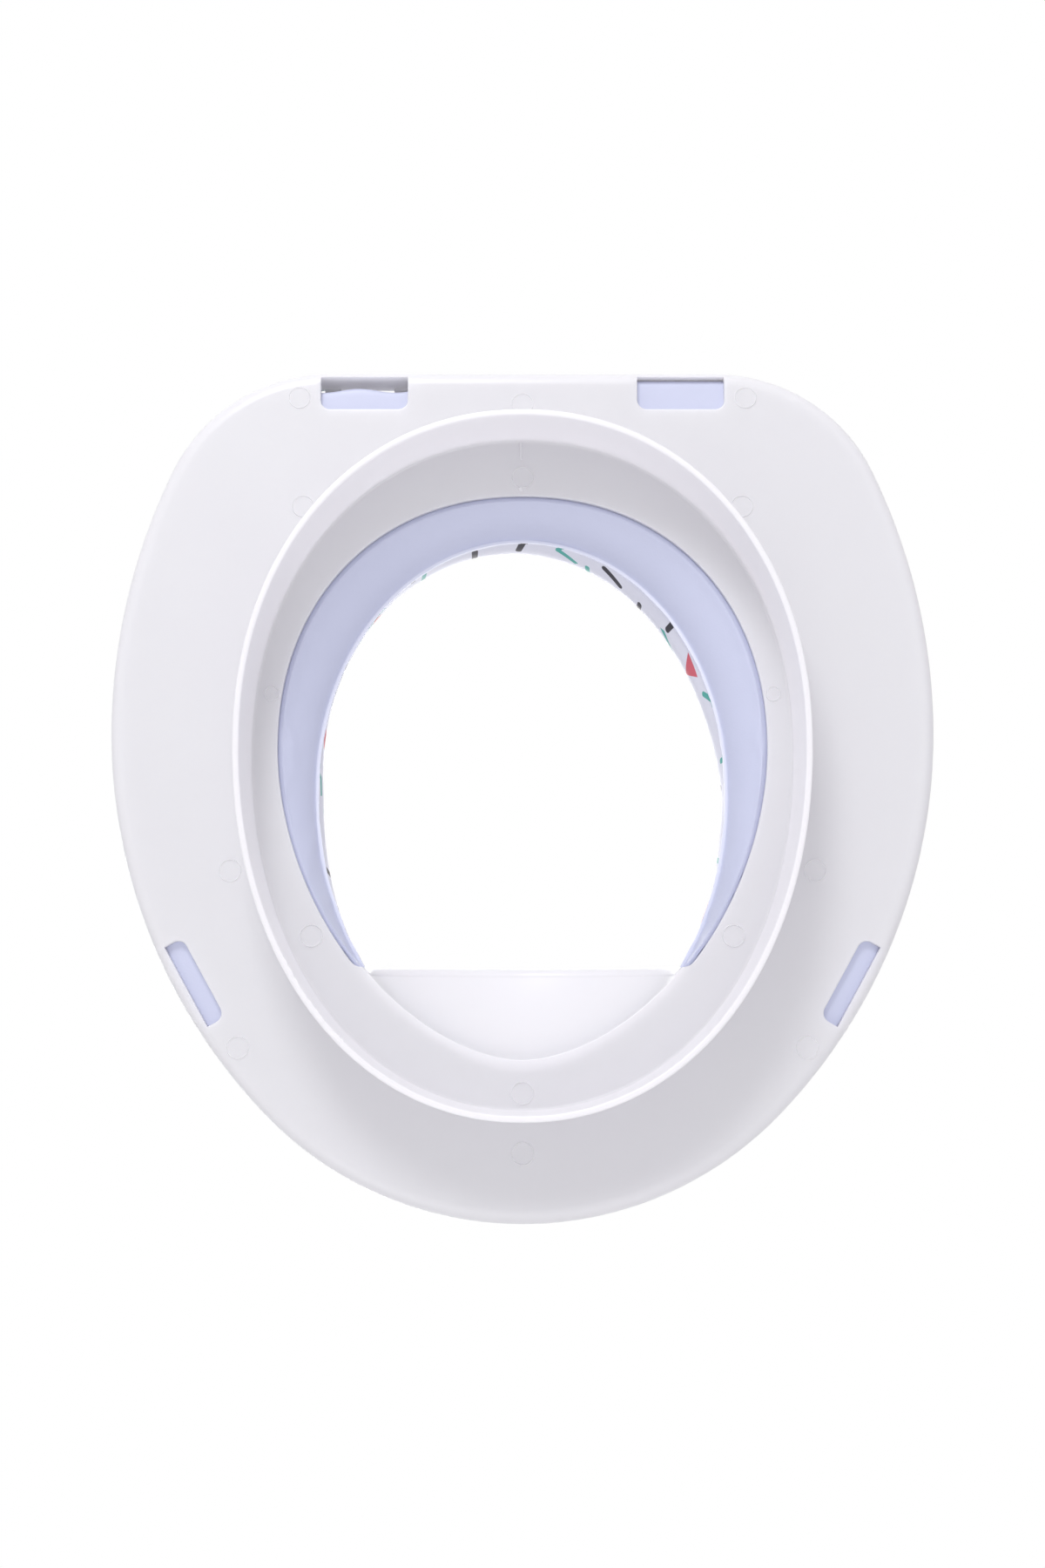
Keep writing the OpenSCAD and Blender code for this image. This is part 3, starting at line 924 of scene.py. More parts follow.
    def _upper(self) -> list[np.ndarray]:
        """Rows of the top cover from just above the inner weld to just above the outer one."""
        hole, _, plate = self._columns()
        base = self.base
        inner, outer = self.hole.at(hole), base.plate.at(plate, self.puff_out)
        rows = [raised(inner, self.weld_z + (self.crown_z - self.weld_z) * share)
                for share in self.wall_shares]
        for share in self.crown_shares:
            rise = (1 - abs(2 * share - 1) ** self.crown_fullness) ** (1 / self.crown_fullness)
            z = self.crown_z + (self.top - self.crown_z) * rise
            rows.append(raised(inner + (outer - inner) * share, z))
        rows.append(raised(outer, self.crown_z))
        edge = (((self.puff_out + self.shoulder_out) / 2, self.crown_z - self.shoulder_drop),
                (self.shoulder_out, self.shoulder_z),
                (self.flange_in, self.shoulder_z - self.shoulder_drop),
                (self.flange_in, self.weld_z + self.flange_rise))
        return rows + [raised(base.plate.at(plate, off), z) for off, z in edge]

    def _hand_made(self) -> tuple[np.ndarray, np.ndarray, np.ndarray]:
        """How the ring, which was put together by hand, lies off its ideal line round the hole.

        The weld sits further back at the rear, and the wall above it leans to one side.

        Returns:
            For all columns, the hole's normal and the outward shifts of the weld and of the wall.
        """
        turn = self._columns()[0]
        plan = mirrored(np.stack([raised(self.hole.at(turn), 0.0)]))[0]
        facing = mirrored(np.stack([raised(heading(turn), 0.0)]))[0]
        side = np.arctan2(-plan[:, 0], plan[:, 1])
        fade = smooth_step((plan[:, 1] - self.seam_front) / self.seam_fade)
        back = np.maximum(np.cos(side), 0)
        weld = fade * (self.seam_wide + self.seam_back * back - self.seam_shift * np.sin(side))
        return facing, weld, -2 * self.wall_shift * np.sin(side) * back

    def _pulled_in(self, rows: np.ndarray, amounts: np.ndarray) -> np.ndarray:
        """Pulls the rim of the cushion away from the moulding behind one rear window.

        Args:
            rows: points of the rows, by columns by 3.
            amounts: how far each row moves forwards, at most.

        Returns:
            The moved rows.
        """
        x, y = rows[..., 0], rows[..., 1]
        start, end = self.pulled
        near = smooth_step((x - start) / self.pull_fade) * smooth_step((end - x) / self.pull_fade)
        near *= y > 0
        depth, length = self.pull_wave
        uneven = 1 - depth * np.sin(x / length)
        moved = rows.copy()
        moved[..., 1] -= near * uneven * amounts[:, None]
        return moved

    def _blown_up(self, still: np.ndarray, held_rows: list[int]) -> np.ndarray:
        """Blows the closed ring up as cloth and gives back where its points come to rest.

        Args:
            still: points of the slack ring, as rows by columns by 3.
            held_rows: rows that the welds and the moulding hold.

        Returns:
            The moved points, none of them by more than most_moved.
        """
        rows, columns = still.shape[:2]
        balloon = new_object("balloon", still, grid_faces(rows, columns, closed=True))
        close_up(balloon, apart=0)
        flat = np.empty(rows * columns * 3)
        balloon.data.vertices.foreach_get("normal", flat)
        normals = flat.reshape(still.shape).copy()
        group = balloon.vertex_groups.new(name="held")
        numbers = np.arange(rows * columns).reshape(rows, columns)
        group.add(numbers[held_rows].ravel().tolist(), 1.0, "REPLACE")
        cloth = balloon.modifiers.new("cloth", "CLOTH")
        settings = cloth.settings
        for name, value in VINYL_CLOTH.items():
            setattr(settings, name, value)
        settings.use_pressure = True
        settings.uniform_pressure_force = self.pressure
        settings.vertex_group_mass = group.name
        settings.shrink_min = -self.slack
        settings.effector_weights.gravity = 0
        cloth.collision_settings.use_collision = False
        cloth.point_cache.frame_start = 1
        cloth.point_cache.frame_end = self.frames
        scene = bpy.context.scene
        for step in range(1, self.frames + 1):
            scene.frame_set(step)
        made = balloon.evaluated_get(bpy.context.evaluated_depsgraph_get()).to_mesh()
        made.vertices.foreach_get("co", flat)
        scene.frame_set(1)
        bpy.data.objects.remove(balloon)
        moved = flat.reshape(still.shape) - still
        outwards = (moved * normals).sum(axis=-1, keepdims=True)
        LOG.info("cover moves from %.2f to %.2f mm outwards", outwards.min() / MM,
                 outwards.max() / MM)
        moved += normals * np.maximum(-self.most_sunk - outwards, 0)
        length = np.linalg.norm(moved, axis=-1, keepdims=True)
        return still + moved * np.minimum(1, self.most_moved / np.maximum(length, 1e-9))

    def _cover(self, name: str, rows: np.ndarray, welds: tuple[int, int], middle: int,
               outwards: float) -> bpy.types.Object:
        """Makes one cover from its outer side: one subdivision, then its thickness.

        Args:
            name: name of the piece.
            rows: points of its outer side, rows by columns by 3.
            welds: how many rows at its start and at its end are welded flat.
            middle: row along which the sheet is laid out without stretch.
            outwards: sign of the height of the middle row's normal.

        Returns:
            The finished piece, with the sheet laid out flat, in metres, as its UV map.
        """
        piece = new_object(name, rows, grid_faces(rows.shape[0], rows.shape[1], closed=False))
        mesh = piece.data
        face = mesh.polygons[middle * rows.shape[1]]
        if face.normal.z * outwards < 0:
            mesh.flip_normals()
        steps = np.linalg.norm(np.diff(rows, axis=0), axis=-1)
        reach = np.concatenate([np.zeros((1, rows.shape[1])), np.cumsum(steps, axis=0)])
        away = rows[-1, :, :2] - rows[0, :, :2]
        away /= np.linalg.norm(away, axis=-1, keepdims=True)
        flat = rows[middle, :, :2] + (reach - reach[middle])[..., None] * away
        corners = np.empty(len(mesh.loops), dtype=np.int32)
        mesh.loops.foreach_get("vertex_index", corners)
        layer = mesh.uv_layers.new(name="sheet")
        layer.data.foreach_set("uv", flat.reshape(-1, 2)[corners].ravel())
        # Marks the welded rows, where the vinyl's material paints a lighter highlight.
        painted_weld_highlight = np.zeros(rows.shape[:2])
        painted_weld_highlight[: welds[0]] = painted_weld_highlight[len(rows) - welds[1] :] = 1
        mesh.attributes.new("weld", "FLOAT", "POINT").data.foreach_set("value", painted_weld_highlight.ravel())
        finer = piece.modifiers.new("finer", "SUBSURF")
        finer.levels = finer.render_levels = 1
        sheet = piece.modifiers.new("sheet", "SOLIDIFY")
        sheet.thickness = self.cover_t
        sheet.offset = -1
        sheet.use_even_offset = False
        settle(piece)
        shade(piece, self.crease)
        return piece

    def _flange(self, z: float, seed: int) -> list[np.ndarray]:
        """Rows of the flat flange from its wavy outer edge to the weld."""
        _, _, plate = self._columns()
        count = 2 * self.column_steps
        wave = self.flange_edge.at(count, seed)[: self.column_steps + 1]
        swell = self.flange_swell.at(count, seed + 1)[: self.column_steps + 1]
        rows = []
        for share in (0.0, 0.3, 0.6, 0.85):
            off = self.flange_out + (self.flange_in - self.flange_out) * share + wave * (1 - share)
            rows.append(raised(self.base.plate.at(plate, off), z + swell * (1 - share)))
        return rows

    def _weld_bead(self, z: float, seed: int) -> list[np.ndarray]:
        """Rows of the narrow weld inside the hole, from the ring to the weld's edge."""
        hole, _, _ = self._columns()
        wave = self.bead_edge.at(2 * self.column_steps, seed)[: self.column_steps + 1]
        return [raised(self.hole.at(hole, -off + wave * share), z) for off, share in self.bead_rows]

    def _foam(self, ring: np.ndarray) -> bpy.types.Object:
        """Makes the foam ring that fills the covers, a little smaller than they are."""
        low, high = ring.min(axis=0), ring.max(axis=0)
        half = (high - low) / 2
        half[:, :2] = np.linalg.norm(half[:, :2], axis=-1, keepdims=True)
        share = 1 - (self.cover_t + self.foam_gap) / half
        shrunk = (high + low) / 2 + (ring - (high + low) / 2) * share
        faces = grid_faces(ring.shape[0], ring.shape[1], closed=True)
        foam = new_object("cushion_foam", shrunk, faces)
        close_up(foam)
        shade(foam, self.crease)
        return foam

    def build(self) -> tuple[bpy.types.Object, bpy.types.Object, bpy.types.Object]:
        """Makes the two covers and the foam between them.

        Returns:
            The bottom cover, the top cover and the foam ring.
        """
        lower, held = self._lower()
        upper = self._upper()
        ring = mirrored(np.stack(lower + upper))
        facing, weld, wall = self._hand_made()
        climb = np.sin(self.wall_shares * RIGHT_ANGLE)
        over = (1 - self.crown_shares) ** self.wall_fade
        crown_from = len(lower) + len(climb)
        weld_part, wall_part = np.zeros(len(ring)), np.zeros(len(ring))
        weld_part[held : len(lower)] = self.turn_shares
        weld_part[len(lower) : crown_from] = 1 - climb
        wall_part[len(lower) : crown_from] = climb
        wall_part[crown_from : crown_from + len(over)] = over
        ring += (np.outer(weld_part, weld) + np.outer(wall_part, wall))[..., None] * facing
        foot = np.interp(np.arange(held), *self.pulled_foot) * self.pull
        ring[:held] = self._pulled_in(ring[:held], foot)
        held_rows = list(range(held)) + [len(lower) - 1, len(lower) + len(upper) - 1]
        ring = self._blown_up(ring, held_rows)
        below, above = self.weld_z - self.cover_t, self.weld_z + self.cover_t
        shift = weld[:, None] * facing
        gather = np.array(self.pulled_flange) * self.pull
        flanges = [mirrored(np.stack(self._flange(z, seed=3))) for z in (below, above)]
        low_flange, top_flange = (self._pulled_in(rows, gather) for rows in flanges)
        beads = [mirrored(np.stack(self._weld_bead(z, seed=5))) for z in (below, above)]
        low_bead, top_bead = (rows + shift for rows in beads)
        bottom = np.concatenate([low_flange, ring[1 : len(lower) - 1], low_bead])
        cap = np.concatenate([top_bead[::-1], ring[len(lower) :], top_flange[::-1]])
        flange, seam = len(low_flange), len(low_bead)
        flat_from = flange - 1 + held - len(self.sinking) - len(self.flat_shares)
        middle = flat_from + len(self.flat_shares) // 2
        crown = seam + len(climb) + len(over) // 2
        return (self._cover("cushion_underside", bottom, (flange, seam), middle, -1.0),
                self._cover("cushion_top", cap, (seam, flange), crown, 1.0), self._foam(ring))


class Graph:
    """Writes a node tree step by step."""

    def __init__(self, owner: bpy.types.ID) -> None:
        """Starts on a node tree.

        Args:
            owner: material or world that has the tree, or the node group that is one.
        """
        self.owner = owner
        self.tree = owner if isinstance(owner, bpy.types.NodeTree) else owner.node_tree

    def node(self, kind: str, **settings: object) -> bpy.types.Node:
        """Adds a node of a kind and gives it its settings."""
        made = self.tree.nodes.new(kind)
        for name, value in settings.items():
            setattr(made, name, value)
        return made

    def feed(self, socket: Socket, value: object) -> None:
        """Links a socket to another one, or gives it a plain value."""
        if isinstance(value, bpy.types.NodeSocket):
            self.tree.links.new(value, socket)
        else:
            socket.default_value = value

    def feed_all(self, node: bpy.types.Node, values: dict[str, object]) -> None:
        """Feeds the named inputs of a node."""
        for name, value in values.items():
            self.feed(node.inputs[name], value)

    def math(self, operation: str, *values: object) -> Socket:
        """Value of a sum on numbers."""
        made = self.node("ShaderNodeMath", operation=operation)
        for socket, value in zip(made.inputs, values):
            self.feed(socket, value)
        return made.outputs[0]

    def vector(self, operation: str, *values: object) -> bpy.types.Node:
        """Node of a sum on vectors."""
        made = self.node("ShaderNodeVectorMath", operation=operation)
        for socket, value in zip(made.inputs, values):
            self.feed(socket, value)
        return made

    def stretch(self, value: Socket, low: float, high: float, start: float = 0.0,
                end: float = 1.0) -> Socket:
        """Takes a value from between low and high smoothly to between start and end."""
        made = self.node("ShaderNodeMapRange", interpolation_type="SMOOTHSTEP")
        names = ("Value", "From Min", "From Max", "To Min", "To Max")
        for name, number in zip(names, (value, low, high, start, end)):
            self.feed(made.inputs[name], number)
        return made.outputs["Result"]

    def noise(self, where: Socket, scale: float, detail: float = 2.0,
              roughness: float = 0.5) -> Socket:
        """Cloudy value from 0 to 1."""
        made = self.node("ShaderNodeTexNoise")
        self.feed_all(made, {"Vector": where, "Scale": scale, "Detail": detail,
                             "Roughness": roughness})
        return made.outputs[0]

    def mix(self, share: object, first: object, second: object) -> Socket:
        """Mixes two colours."""
        made = self.node("ShaderNodeMix", data_type="RGBA")
        for number, value in ((0, share), (6, first), (7, second)):
            self.feed(made.inputs[number], value)
        return made.outputs[2]

    def bump(self, height: Socket, distance: float, strength: float,
             before: Socket | None = None) -> Socket:
        """Normal of a height."""
        made = self.node("ShaderNodeBump")
        self.feed_all(made, {"Height": height, "Distance": distance, "Strength": strength})
        if before is not None:
            self.feed(made.inputs["Normal"], before)
        return made.outputs["Normal"]

    def effect(self, group: bpy.types.NodeTree, where: Socket) -> bpy.types.Node:
        """Puts in a shared effect at the coordinates where."""
        made = self.node("ShaderNodeGroup", node_tree=group)
        self.feed(made.inputs["Where"], where)
        return made


class SharedEffects:
    """Node groups that more than one finish uses.

    Scales are cells to the metre.
    """

    tone_scale: float = 14
    smear_scale: float = 30
    pebble_scale: float = 1400
    pebble_merge: float = 0.6
    fine_scale: float = 2600
    fine_share: float = 0.35

    def __init__(self) -> None:
        """Makes the groups once."""
        self.wear = self._wear()
        self.grain = self._grain()

    @staticmethod
    def _group(name: str, outputs: tuple[str, ...]) -> tuple[Graph, Socket, bpy.types.Node]:
        """Starts a group with one vector input and these value outputs."""
        tree = bpy.data.node_groups.new(name, "ShaderNodeTree")
        tree.interface.new_socket("Where", in_out="INPUT", socket_type="NodeSocketVector")
        for output in outputs:
            tree.interface.new_socket(output, in_out="OUTPUT", socket_type="NodeSocketFloat")
        graph = Graph(tree)
        return graph, graph.node("NodeGroupInput").outputs["Where"], graph.node("NodeGroupOutput")

    def _wear(self) -> bpy.types.NodeTree:
        """Uneven tone and gloss of a surface that hands have touched."""
        graph, where, out = self._group("Wear", ("Tone", "Gloss"))
        graph.feed(out.inputs["Tone"], graph.noise(where, self.tone_scale, 3, 0.55))
        smear = graph.noise(where, self.smear_scale, 3, 0.5)
        graph.feed(out.inputs["Gloss"], graph.stretch(smear, 0.2, 0.85))
        return graph.tree

    def _grain(self) -> bpy.types.NodeTree:
        """Fine pebbled relief: small round cells broken up by a finer noise."""
        graph, where, out = self._group("Grain", ("Relief",))
        cells = graph.node("ShaderNodeTexVoronoi", feature="SMOOTH_F1")
        graph.feed_all(cells, {"Vector": where, "Scale": self.pebble_scale,
                               "Smoothness": self.pebble_merge})
        fine = graph.noise(where, self.fine_scale, 2)
        relief = graph.math("MULTIPLY_ADD", fine, self.fine_share, cells.outputs["Distance"])
        graph.feed(out.inputs["Relief"], relief)
        return graph.tree


@dataclass(frozen=True)
class PlasticFinish:
    """Satin white moulded plastic."""

    slot: Slot = Slot.MOULDING
    clean: Colour = colour(242, 241, 244)
    dull: Colour = colour(239, 237, 242)
    smooth: float = 0.3
    rough: float = 0.35
    ior: float = 1.49
    milky: float = 0.5
    milky_reach: float = 14 * MM
    milky_tint: tuple[float, float, float] = (1.0, 0.95, 0.95)
    swell_scale: float = 26
    swell_h: float = 0.25 * MM
    swell_strength: float = 0.25

    def make(self, effects: SharedEffects) -> bpy.types.Material:
        """Makes the material."""
        graph, shader, where = new_material(self.slot.value)
        wear = graph.effect(effects.wear, where)
        tone = graph.mix(wear.outputs["Tone"], self.dull, self.clean)
        graph.feed(shader.inputs["Base Color"], tone)
        gloss = graph.stretch(wear.outputs["Gloss"], 0, 1, self.smooth, self.rough)
        graph.feed(shader.inputs["Roughness"], gloss)
        graph.feed_all(shader, {"IOR": self.ior, "Subsurface Weight": self.milky,
                                "Subsurface Scale": self.milky_reach,
                                "Subsurface Radius": self.milky_tint})
        swell = graph.noise(where, self.swell_scale, 1)
        relief = graph.bump(swell, self.swell_h, self.swell_strength)
        graph.feed(shader.inputs["Normal"], relief)
        return graph.owner


@dataclass(frozen=True)
class VinylFinish:
    """Soft lavender vinyl with a fine pebbled grain, and a painted highlight along its welds."""

    slot: Slot = Slot.PLAIN_VINYL
    light: Colour = colour(206, 210, 231)
    deep: Colour = colour(195, 200, 223)
    # Lighter colour for the welded rows: a painted highlight and painted glow of light through the
    # thin weld.
    painted_weld_highlight: Colour = colour(228, 231, 246)
    smooth: float = 0.42
    rough: float = 0.58
    ior: float = 1.5
    sheen: float = 0.04
    soft_scale: float = 48
    soft_h: float = 1.2 * MM
    soft_strength: float = 0.5
    grain_h: float = 0.06 * MM
    grain_strength: float = 0.35

    def skin(self, effects: SharedEffects) -> tuple[Graph, bpy.types.Node, Socket]:
        """Starts the material with all but its print.

        Args:
            effects: the shared node groups.

        Returns:
            The tree's writer, the shader, and the colour that the print lies on.
        """
        graph, shader, where = new_material(self.slot.value)
        wear = graph.effect(effects.wear, where)
        ground = graph.mix(wear.outputs["Tone"], self.deep, self.light)
        # The welded rows take the lighter weld colour: a painted highlight.
        weld = graph.node("ShaderNodeAttribute", attribute_name="weld").outputs["Fac"]
        ground = graph.mix(weld, ground, self.painted_weld_highlight)
        graph.feed(shader.inputs["Base Color"], ground)
        gloss = graph.stretch(wear.outputs["Gloss"], 0, 1, self.smooth, self.rough)
        graph.feed_all(shader, {"Roughness": gloss, "IOR": self.ior, "Sheen Weight": self.sheen})
        clouds = graph.noise(where, self.soft_scale, 2, 0.5)
        soft = graph.bump(clouds, self.soft_h, self.soft_strength)
        relief = graph.effect(effects.grain, where).outputs["Relief"]
        normal = graph.bump(relief, self.grain_h, self.grain_strength, soft)
        graph.feed(shader.inputs["Normal"], normal)
        return graph, shader, ground

    def make(self, effects: SharedEffects) -> bpy.types.Material:
        """Makes the material."""
        return self.skin(effects)[0].owner


@dataclass(frozen=True)
class PrintedVinylFinish(VinylFinish):
    """The same vinyl with a loose print of strokes, angles, triangles and rings.

    Each cell of a jittered grid draws a lot and holds the motif whose range the lot falls in,
    turned at random about the cell's point.
    """

    slot: Slot = Slot.PRINTED_VINYL
    light: Colour = colour(229, 230, 240)
    deep: Colour = colour(222, 224, 236)
    black: Colour = colour(52, 50, 60)
    teal: Colour = colour(84, 170, 160)
    coral: Colour = colour(208, 96, 110)
    cell: float = 15 * MM
    jitter: float = 0.62
    line: float = 1.0 * MM
    angle_line: float = 0.85 * MM
    ring_line: float = 0.6 * MM
    sharp: float = 0.12 * MM
    stroke_half: float = 3.4 * MM
    stroke_more: float = 2.2 * MM
    fold_run: float = 0.79
    fold_rise: float = 0.62
    triangle_r: float = 2.4 * MM
    triangle_side: tuple[float, float] = (0.87, 0.5)
    ring_r: float = 3.2 * MM
    dot_r: float = 1.3 * MM
    bars: tuple[float, float] = (-0.1, 0.45)
    angles: tuple[float, float] = (0.45, 0.65)
    triangles: tuple[float, float] = (0.65, 0.86)
    rings: tuple[float, float] = (0.86, 0.95)
    dots: tuple[float, float] = (0.95, 1.1)

    def make(self, effects: SharedEffects) -> bpy.types.Material:
        """Makes the material."""
        graph, shader, ground = self.skin(effects)
        sheet = graph.node("ShaderNodeUVMap", uv_map="sheet").outputs["UV"]
        cells = graph.node("ShaderNodeTexVoronoi", voronoi_dimensions="2D")
        graph.feed_all(cells, {"Vector": sheet, "Scale": 1 / self.cell, "Randomness": self.jitter})
        luck = graph.node("ShaderNodeSeparateColor")
        graph.feed(luck.inputs[0], cells.outputs["Color"])
        kind, spin, size = luck.outputs
        offset = graph.vector("SUBTRACT", sheet, cells.outputs["Position"]).outputs[0]
        turned = graph.node("ShaderNodeVectorRotate", rotation_type="Z_AXIS")
        angle = graph.math("MULTIPLY", spin, 2 * math.pi)
        graph.feed_all(turned, {"Vector": offset, "Angle": angle})
        place = graph.node("ShaderNodeSeparateXYZ")
        graph.feed(place.inputs[0], turned.outputs[0])
        x, y = place.outputs[0], place.outputs[1]
        length = graph.math("MULTIPLY_ADD", size, self.stroke_more, self.stroke_half)

        def ink(distance: Socket, half_line: float) -> Socket:
            """1 where a point is nearer than half the line's width."""
            return graph.stretch(distance, half_line + self.sharp, half_line - self.sharp)

        def stroke(along: Socket, across: Socket) -> Socket:
            """Distance from a round-ended stroke of the motif's length."""
            past = graph.math("SUBTRACT", graph.math("ABSOLUTE", along), length)
            past = graph.math("MAXIMUM", past, 0.0)
            squares = (graph.math("POWER", value, 2.0) for value in (past, across))
            return graph.math("SQRT", graph.math("ADD", *squares))

        def drawn(motif: Socket, lots: tuple[float, float]) -> Socket:
            """The motif, in the cells whose lot falls between these two."""
            above = graph.math("GREATER_THAN", kind, lots[0])
            below = graph.math("LESS_THAN", kind, lots[1])
            return graph.math("MULTIPLY", motif, graph.math("MULTIPLY", above, below))

        fold = graph.math("ABSOLUTE", x)
        rise = graph.math("MULTIPLY", y, self.fold_run)
        slant = graph.math("MULTIPLY_ADD", fold, self.fold_rise, rise)
        run = graph.math("SUBTRACT", graph.math("MULTIPLY", fold, self.fold_run),
                         graph.math("MULTIPLY", y, self.fold_rise))
        across, along = self.triangle_side
        side = graph.math("MULTIPLY_ADD", fold, across, graph.math("MULTIPLY", y, along))
        sides = graph.math("MAXIMUM", side, graph.math("MULTIPLY", y, -1.0))
        radius = graph.vector("LENGTH", turned.outputs[0]).outputs["Value"]
        off_ring = graph.math("ABSOLUTE", graph.math("SUBTRACT", radius, self.ring_r))

        bar = ink(stroke(x, y), self.line)
        bent = ink(stroke(graph.math("SUBTRACT", run, length), slant), self.angle_line)
        black = graph.math("MAXIMUM", drawn(bar, self.bars),
                           drawn(ink(off_ring, self.ring_line), self.rings))
        teal = graph.math("MAXIMUM", drawn(bent, self.angles),
                          drawn(ink(radius, self.dot_r), self.dots))
        coral = drawn(ink(sides, self.triangle_r), self.triangles)
        tinted = ground
        for share, tint in ((black, self.black), (teal, self.teal), (coral, self.coral)):
            tinted = graph.mix(share, tinted, tint)
        graph.feed(shader.inputs["Base Color"], tinted)
        return graph.owner


@dataclass(frozen=True)
class FoamFinish:
    """Open-celled white foam, with painted shade in the pits of its relief."""

    slot: Slot = Slot.FOAM
    pale: Colour = colour(244, 240, 222)
    # Darker colour for the pits of the relief: painted shade in the pores.
    cells: Colour = colour(222, 214, 186)
    rough: float = 0.95
    relief_h: float = 0.3 * MM
    relief_strength: float = 0.8

    def make(self, effects: SharedEffects) -> bpy.types.Material:
        """Makes the material."""
        graph, shader, where = new_material(self.slot.value)
        relief = graph.effect(effects.grain, where).outputs["Relief"]
        # The pits of the relief take the darker colour: painted shade.
        graph.feed(shader.inputs["Base Color"], graph.mix(relief, self.cells, self.pale))
        shader.inputs["Roughness"].default_value = self.rough
        normal = graph.bump(relief, self.relief_h, self.relief_strength)
        graph.feed(shader.inputs["Normal"], normal)
        return graph.owner


def new_material(name: str) -> tuple[Graph, bpy.types.Node, Socket]:
    """Makes a material with one shader.

    Args:
        name: name of the material.

    Returns:
        The tree's writer, the shader and the object's coordinates in metres.
    """
    made = bpy.data.materials.new(name)
    made.use_nodes = True
    made.node_tree.nodes.clear()
    graph = Graph(made)
    shader = graph.node("ShaderNodeBsdfPrincipled")
    graph.feed(graph.node("ShaderNodeOutputMaterial").inputs["Surface"], shader.outputs[0])
    return graph, shader, graph.node("ShaderNodeTexCoord").outputs["Object"]


@dataclass(frozen=True)
class Lamp:
    """Square area light that looks at a point."""

    name: str
    place: tuple[float, float, float]
    size: float
    watts: float
    target: tuple[float, float, float] = (0.0, 0.0, 0.03)

    def light(self) -> None:
        """Puts the light into the scene."""
        data = bpy.data.lights.new(self.name, "AREA")
        data.size, data.energy = self.size, self.watts
        made = bpy.data.objects.new(self.name, data)
        bpy.context.scene.collection.objects.link(made)
        made.location = self.place
        aim = Vector(self.target) - Vector(self.place)
        made.rotation_euler = aim.to_track_quat("-Z", "Y").to_euler()


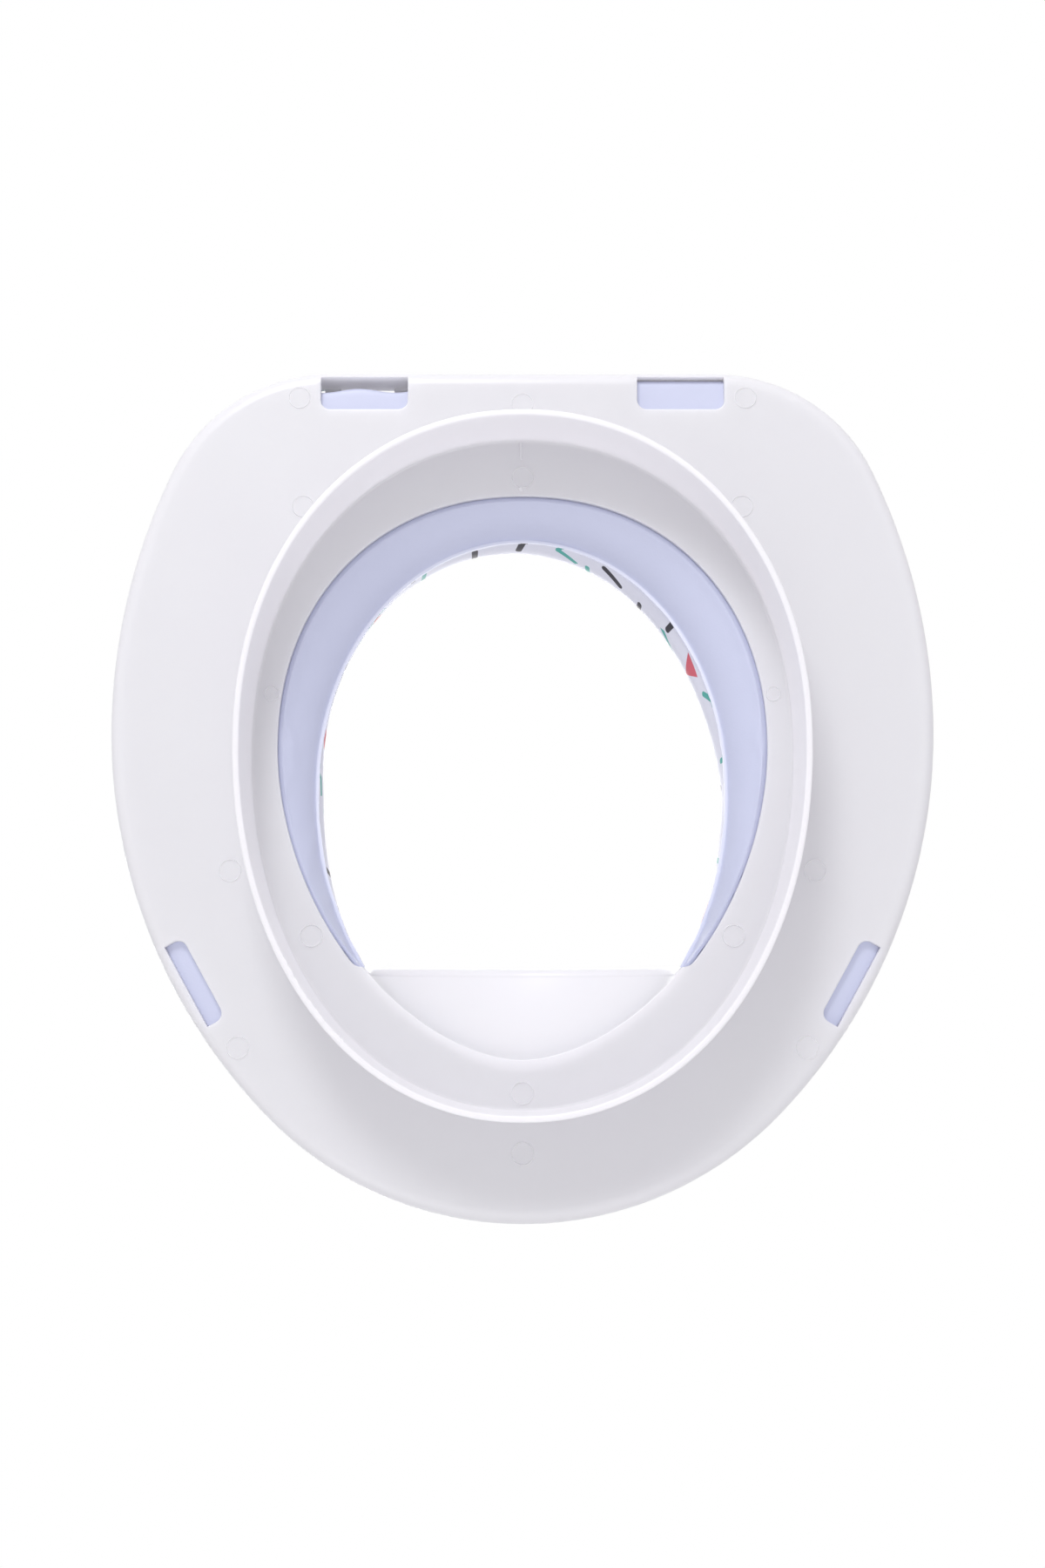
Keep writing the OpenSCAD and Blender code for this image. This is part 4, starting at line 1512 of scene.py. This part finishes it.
@dataclass(frozen=True)
class Studio:
    """White surroundings, lights and the camera under the seat.

    The surroundings' light is given for three directions, and turns from one to the next
    between the heights of rising and falling.
    """

    from_below: float = 0.81
    from_side: float = 0.84
    from_above: float = 0.45
    rising: tuple[float, float] = (-1, -0.1)
    falling: tuple[float, float] = (-0.05, 0.4)
    ambient_tint: Colour = (0.975, 0.96, 1.0, 1.0)
    white: Colour = (1.0, 1.0, 1.0, 1.0)
    floor_reach: float = 1.6
    floor_paint: Colour = (0.93, 0.93, 0.93, 1.0)
    floor_rough: float = 0.9
    floor_fade: tuple[float, float] = (0.12, 0.34)
    tilt: float = math.radians(7.1)
    camera_place: tuple[float, float, float] = (0.0, -0.0771, -0.5952)
    lens: float = 41.06
    lamps: tuple[Lamp, ...] = (
        Lamp("key", (0.26, 0.95, -0.8), 0.42, 6.7),
        Lamp("fill", (0.05, -0.8, -0.55), 0.9, 1.6),
        Lamp("overhead", (0.15, -0.1, 1.5), 1.0, 9.0),
    )

    def _world(self) -> None:
        """White for the camera and for reflections, and a plain soft light on the object."""
        world = bpy.data.worlds.new("surroundings")
        world.use_nodes = True
        world.node_tree.nodes.clear()
        graph = Graph(world)
        path = graph.node("ShaderNodeLightPath")
        seen = graph.math("MAXIMUM", path.outputs["Is Camera Ray"],
                          path.outputs["Is Transmission Ray"])
        seen = graph.math("MAXIMUM", seen, path.outputs["Is Glossy Ray"])
        lit = graph.node("ShaderNodeBackground")
        lit.inputs["Color"].default_value = self.ambient_tint
        place = graph.node("ShaderNodeSeparateXYZ")
        graph.feed(place.inputs[0], graph.node("ShaderNodeTexCoord").outputs["Generated"])
        up = place.outputs["Z"]
        low = graph.stretch(up, *self.rising, self.from_below, self.from_side)
        high = graph.stretch(up, *self.falling, self.from_side, self.from_above)
        graph.feed(lit.inputs["Strength"], graph.math("MINIMUM", low, high))
        plain = graph.node("ShaderNodeBackground")
        plain.inputs["Color"].default_value = self.white
        mix = graph.node("ShaderNodeMixShader")
        graph.feed(mix.inputs[0], seen)
        graph.feed(mix.inputs[1], lit.outputs[0])
        graph.feed(mix.inputs[2], plain.outputs[0])
        graph.feed(graph.node("ShaderNodeOutputWorld").inputs["Surface"], mix.outputs[0])
        bpy.context.scene.world = world

    def _floor(self) -> bpy.types.Object:
        """Floor that fades out to the white surroundings and is clear from below."""
        corners = np.array([[-1, -1, 0], [1, -1, 0], [1, 1, 0], [-1, 1, 0]]) * self.floor_reach
        floor = new_object("floor", corners, [[0, 1, 2, 3]])
        graph, shader, where = new_material("floor")
        graph.feed_all(shader, {"Base Color": self.floor_paint, "Roughness": self.floor_rough,
                                "Specular IOR Level": 0.0})
        distance = graph.vector("LENGTH", where).outputs["Value"]
        whole, gone = self.floor_fade
        near = graph.stretch(distance, gone, whole)
        back = graph.node("ShaderNodeNewGeometry").outputs["Backfacing"]
        above = graph.math("SUBTRACT", 1.0, back)
        graph.feed(shader.inputs["Alpha"], graph.math("MULTIPLY", near, above))
        floor.data.materials.append(graph.owner)
        floor.visible_diffuse = floor.visible_glossy = floor.visible_shadow = False
        return floor

    def _camera(self) -> None:
        """Camera below the seat, a little off upright."""
        data = bpy.data.cameras.new("camera")
        data.lens = self.lens
        made = bpy.data.objects.new("camera", data)
        bpy.context.scene.collection.objects.link(made)
        c, s = math.cos(self.tilt), math.sin(self.tilt)
        turn = Matrix(((-1.0, 0.0, 0.0), (0.0, c, -s), (0.0, -s, -c)))
        made.matrix_world = Matrix.Translation(self.camera_place) @ turn.to_4x4()
        bpy.context.scene.camera = made

    def build(self) -> None:
        """Sets the scene up round the object."""
        self._world()
        self._floor()
        for lamp in self.lamps:
            lamp.light()
        self._camera()
        bpy.context.scene.view_settings.view_transform = "Standard"


def place(piece: bpy.types.Object, node: str, slot: Slot, material: bpy.types.Material) -> None:
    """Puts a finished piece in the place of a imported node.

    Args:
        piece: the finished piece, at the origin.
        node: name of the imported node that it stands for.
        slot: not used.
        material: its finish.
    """
    piece.data.materials.clear()
    piece.data.materials.append(material)
    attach(piece, "root")
    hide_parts(node)
    LOG.info("%s stands for %s, with %d faces", piece.name, node, len(piece.data.polygons))


def main() -> None:
    """Builds the seat insert and its surroundings."""
    logging.basicConfig(level=logging.INFO)
    effects = SharedEffects()
    base = BaseMoulding()
    place(base.build(), "base_moulding", Slot.MOULDING, PlasticFinish().make(effects))
    underside, top, foam = RingCushion(base).build()
    place(underside, "bottom_cover", Slot.PLAIN_VINYL, VinylFinish().make(effects))
    place(top, "top_cover", Slot.PRINTED_VINYL, PrintedVinylFinish().make(effects))
    place(foam, "foam_core", Slot.FOAM, FoamFinish().make(effects))
    Studio().build()


if __name__ == "__main__":
    main()
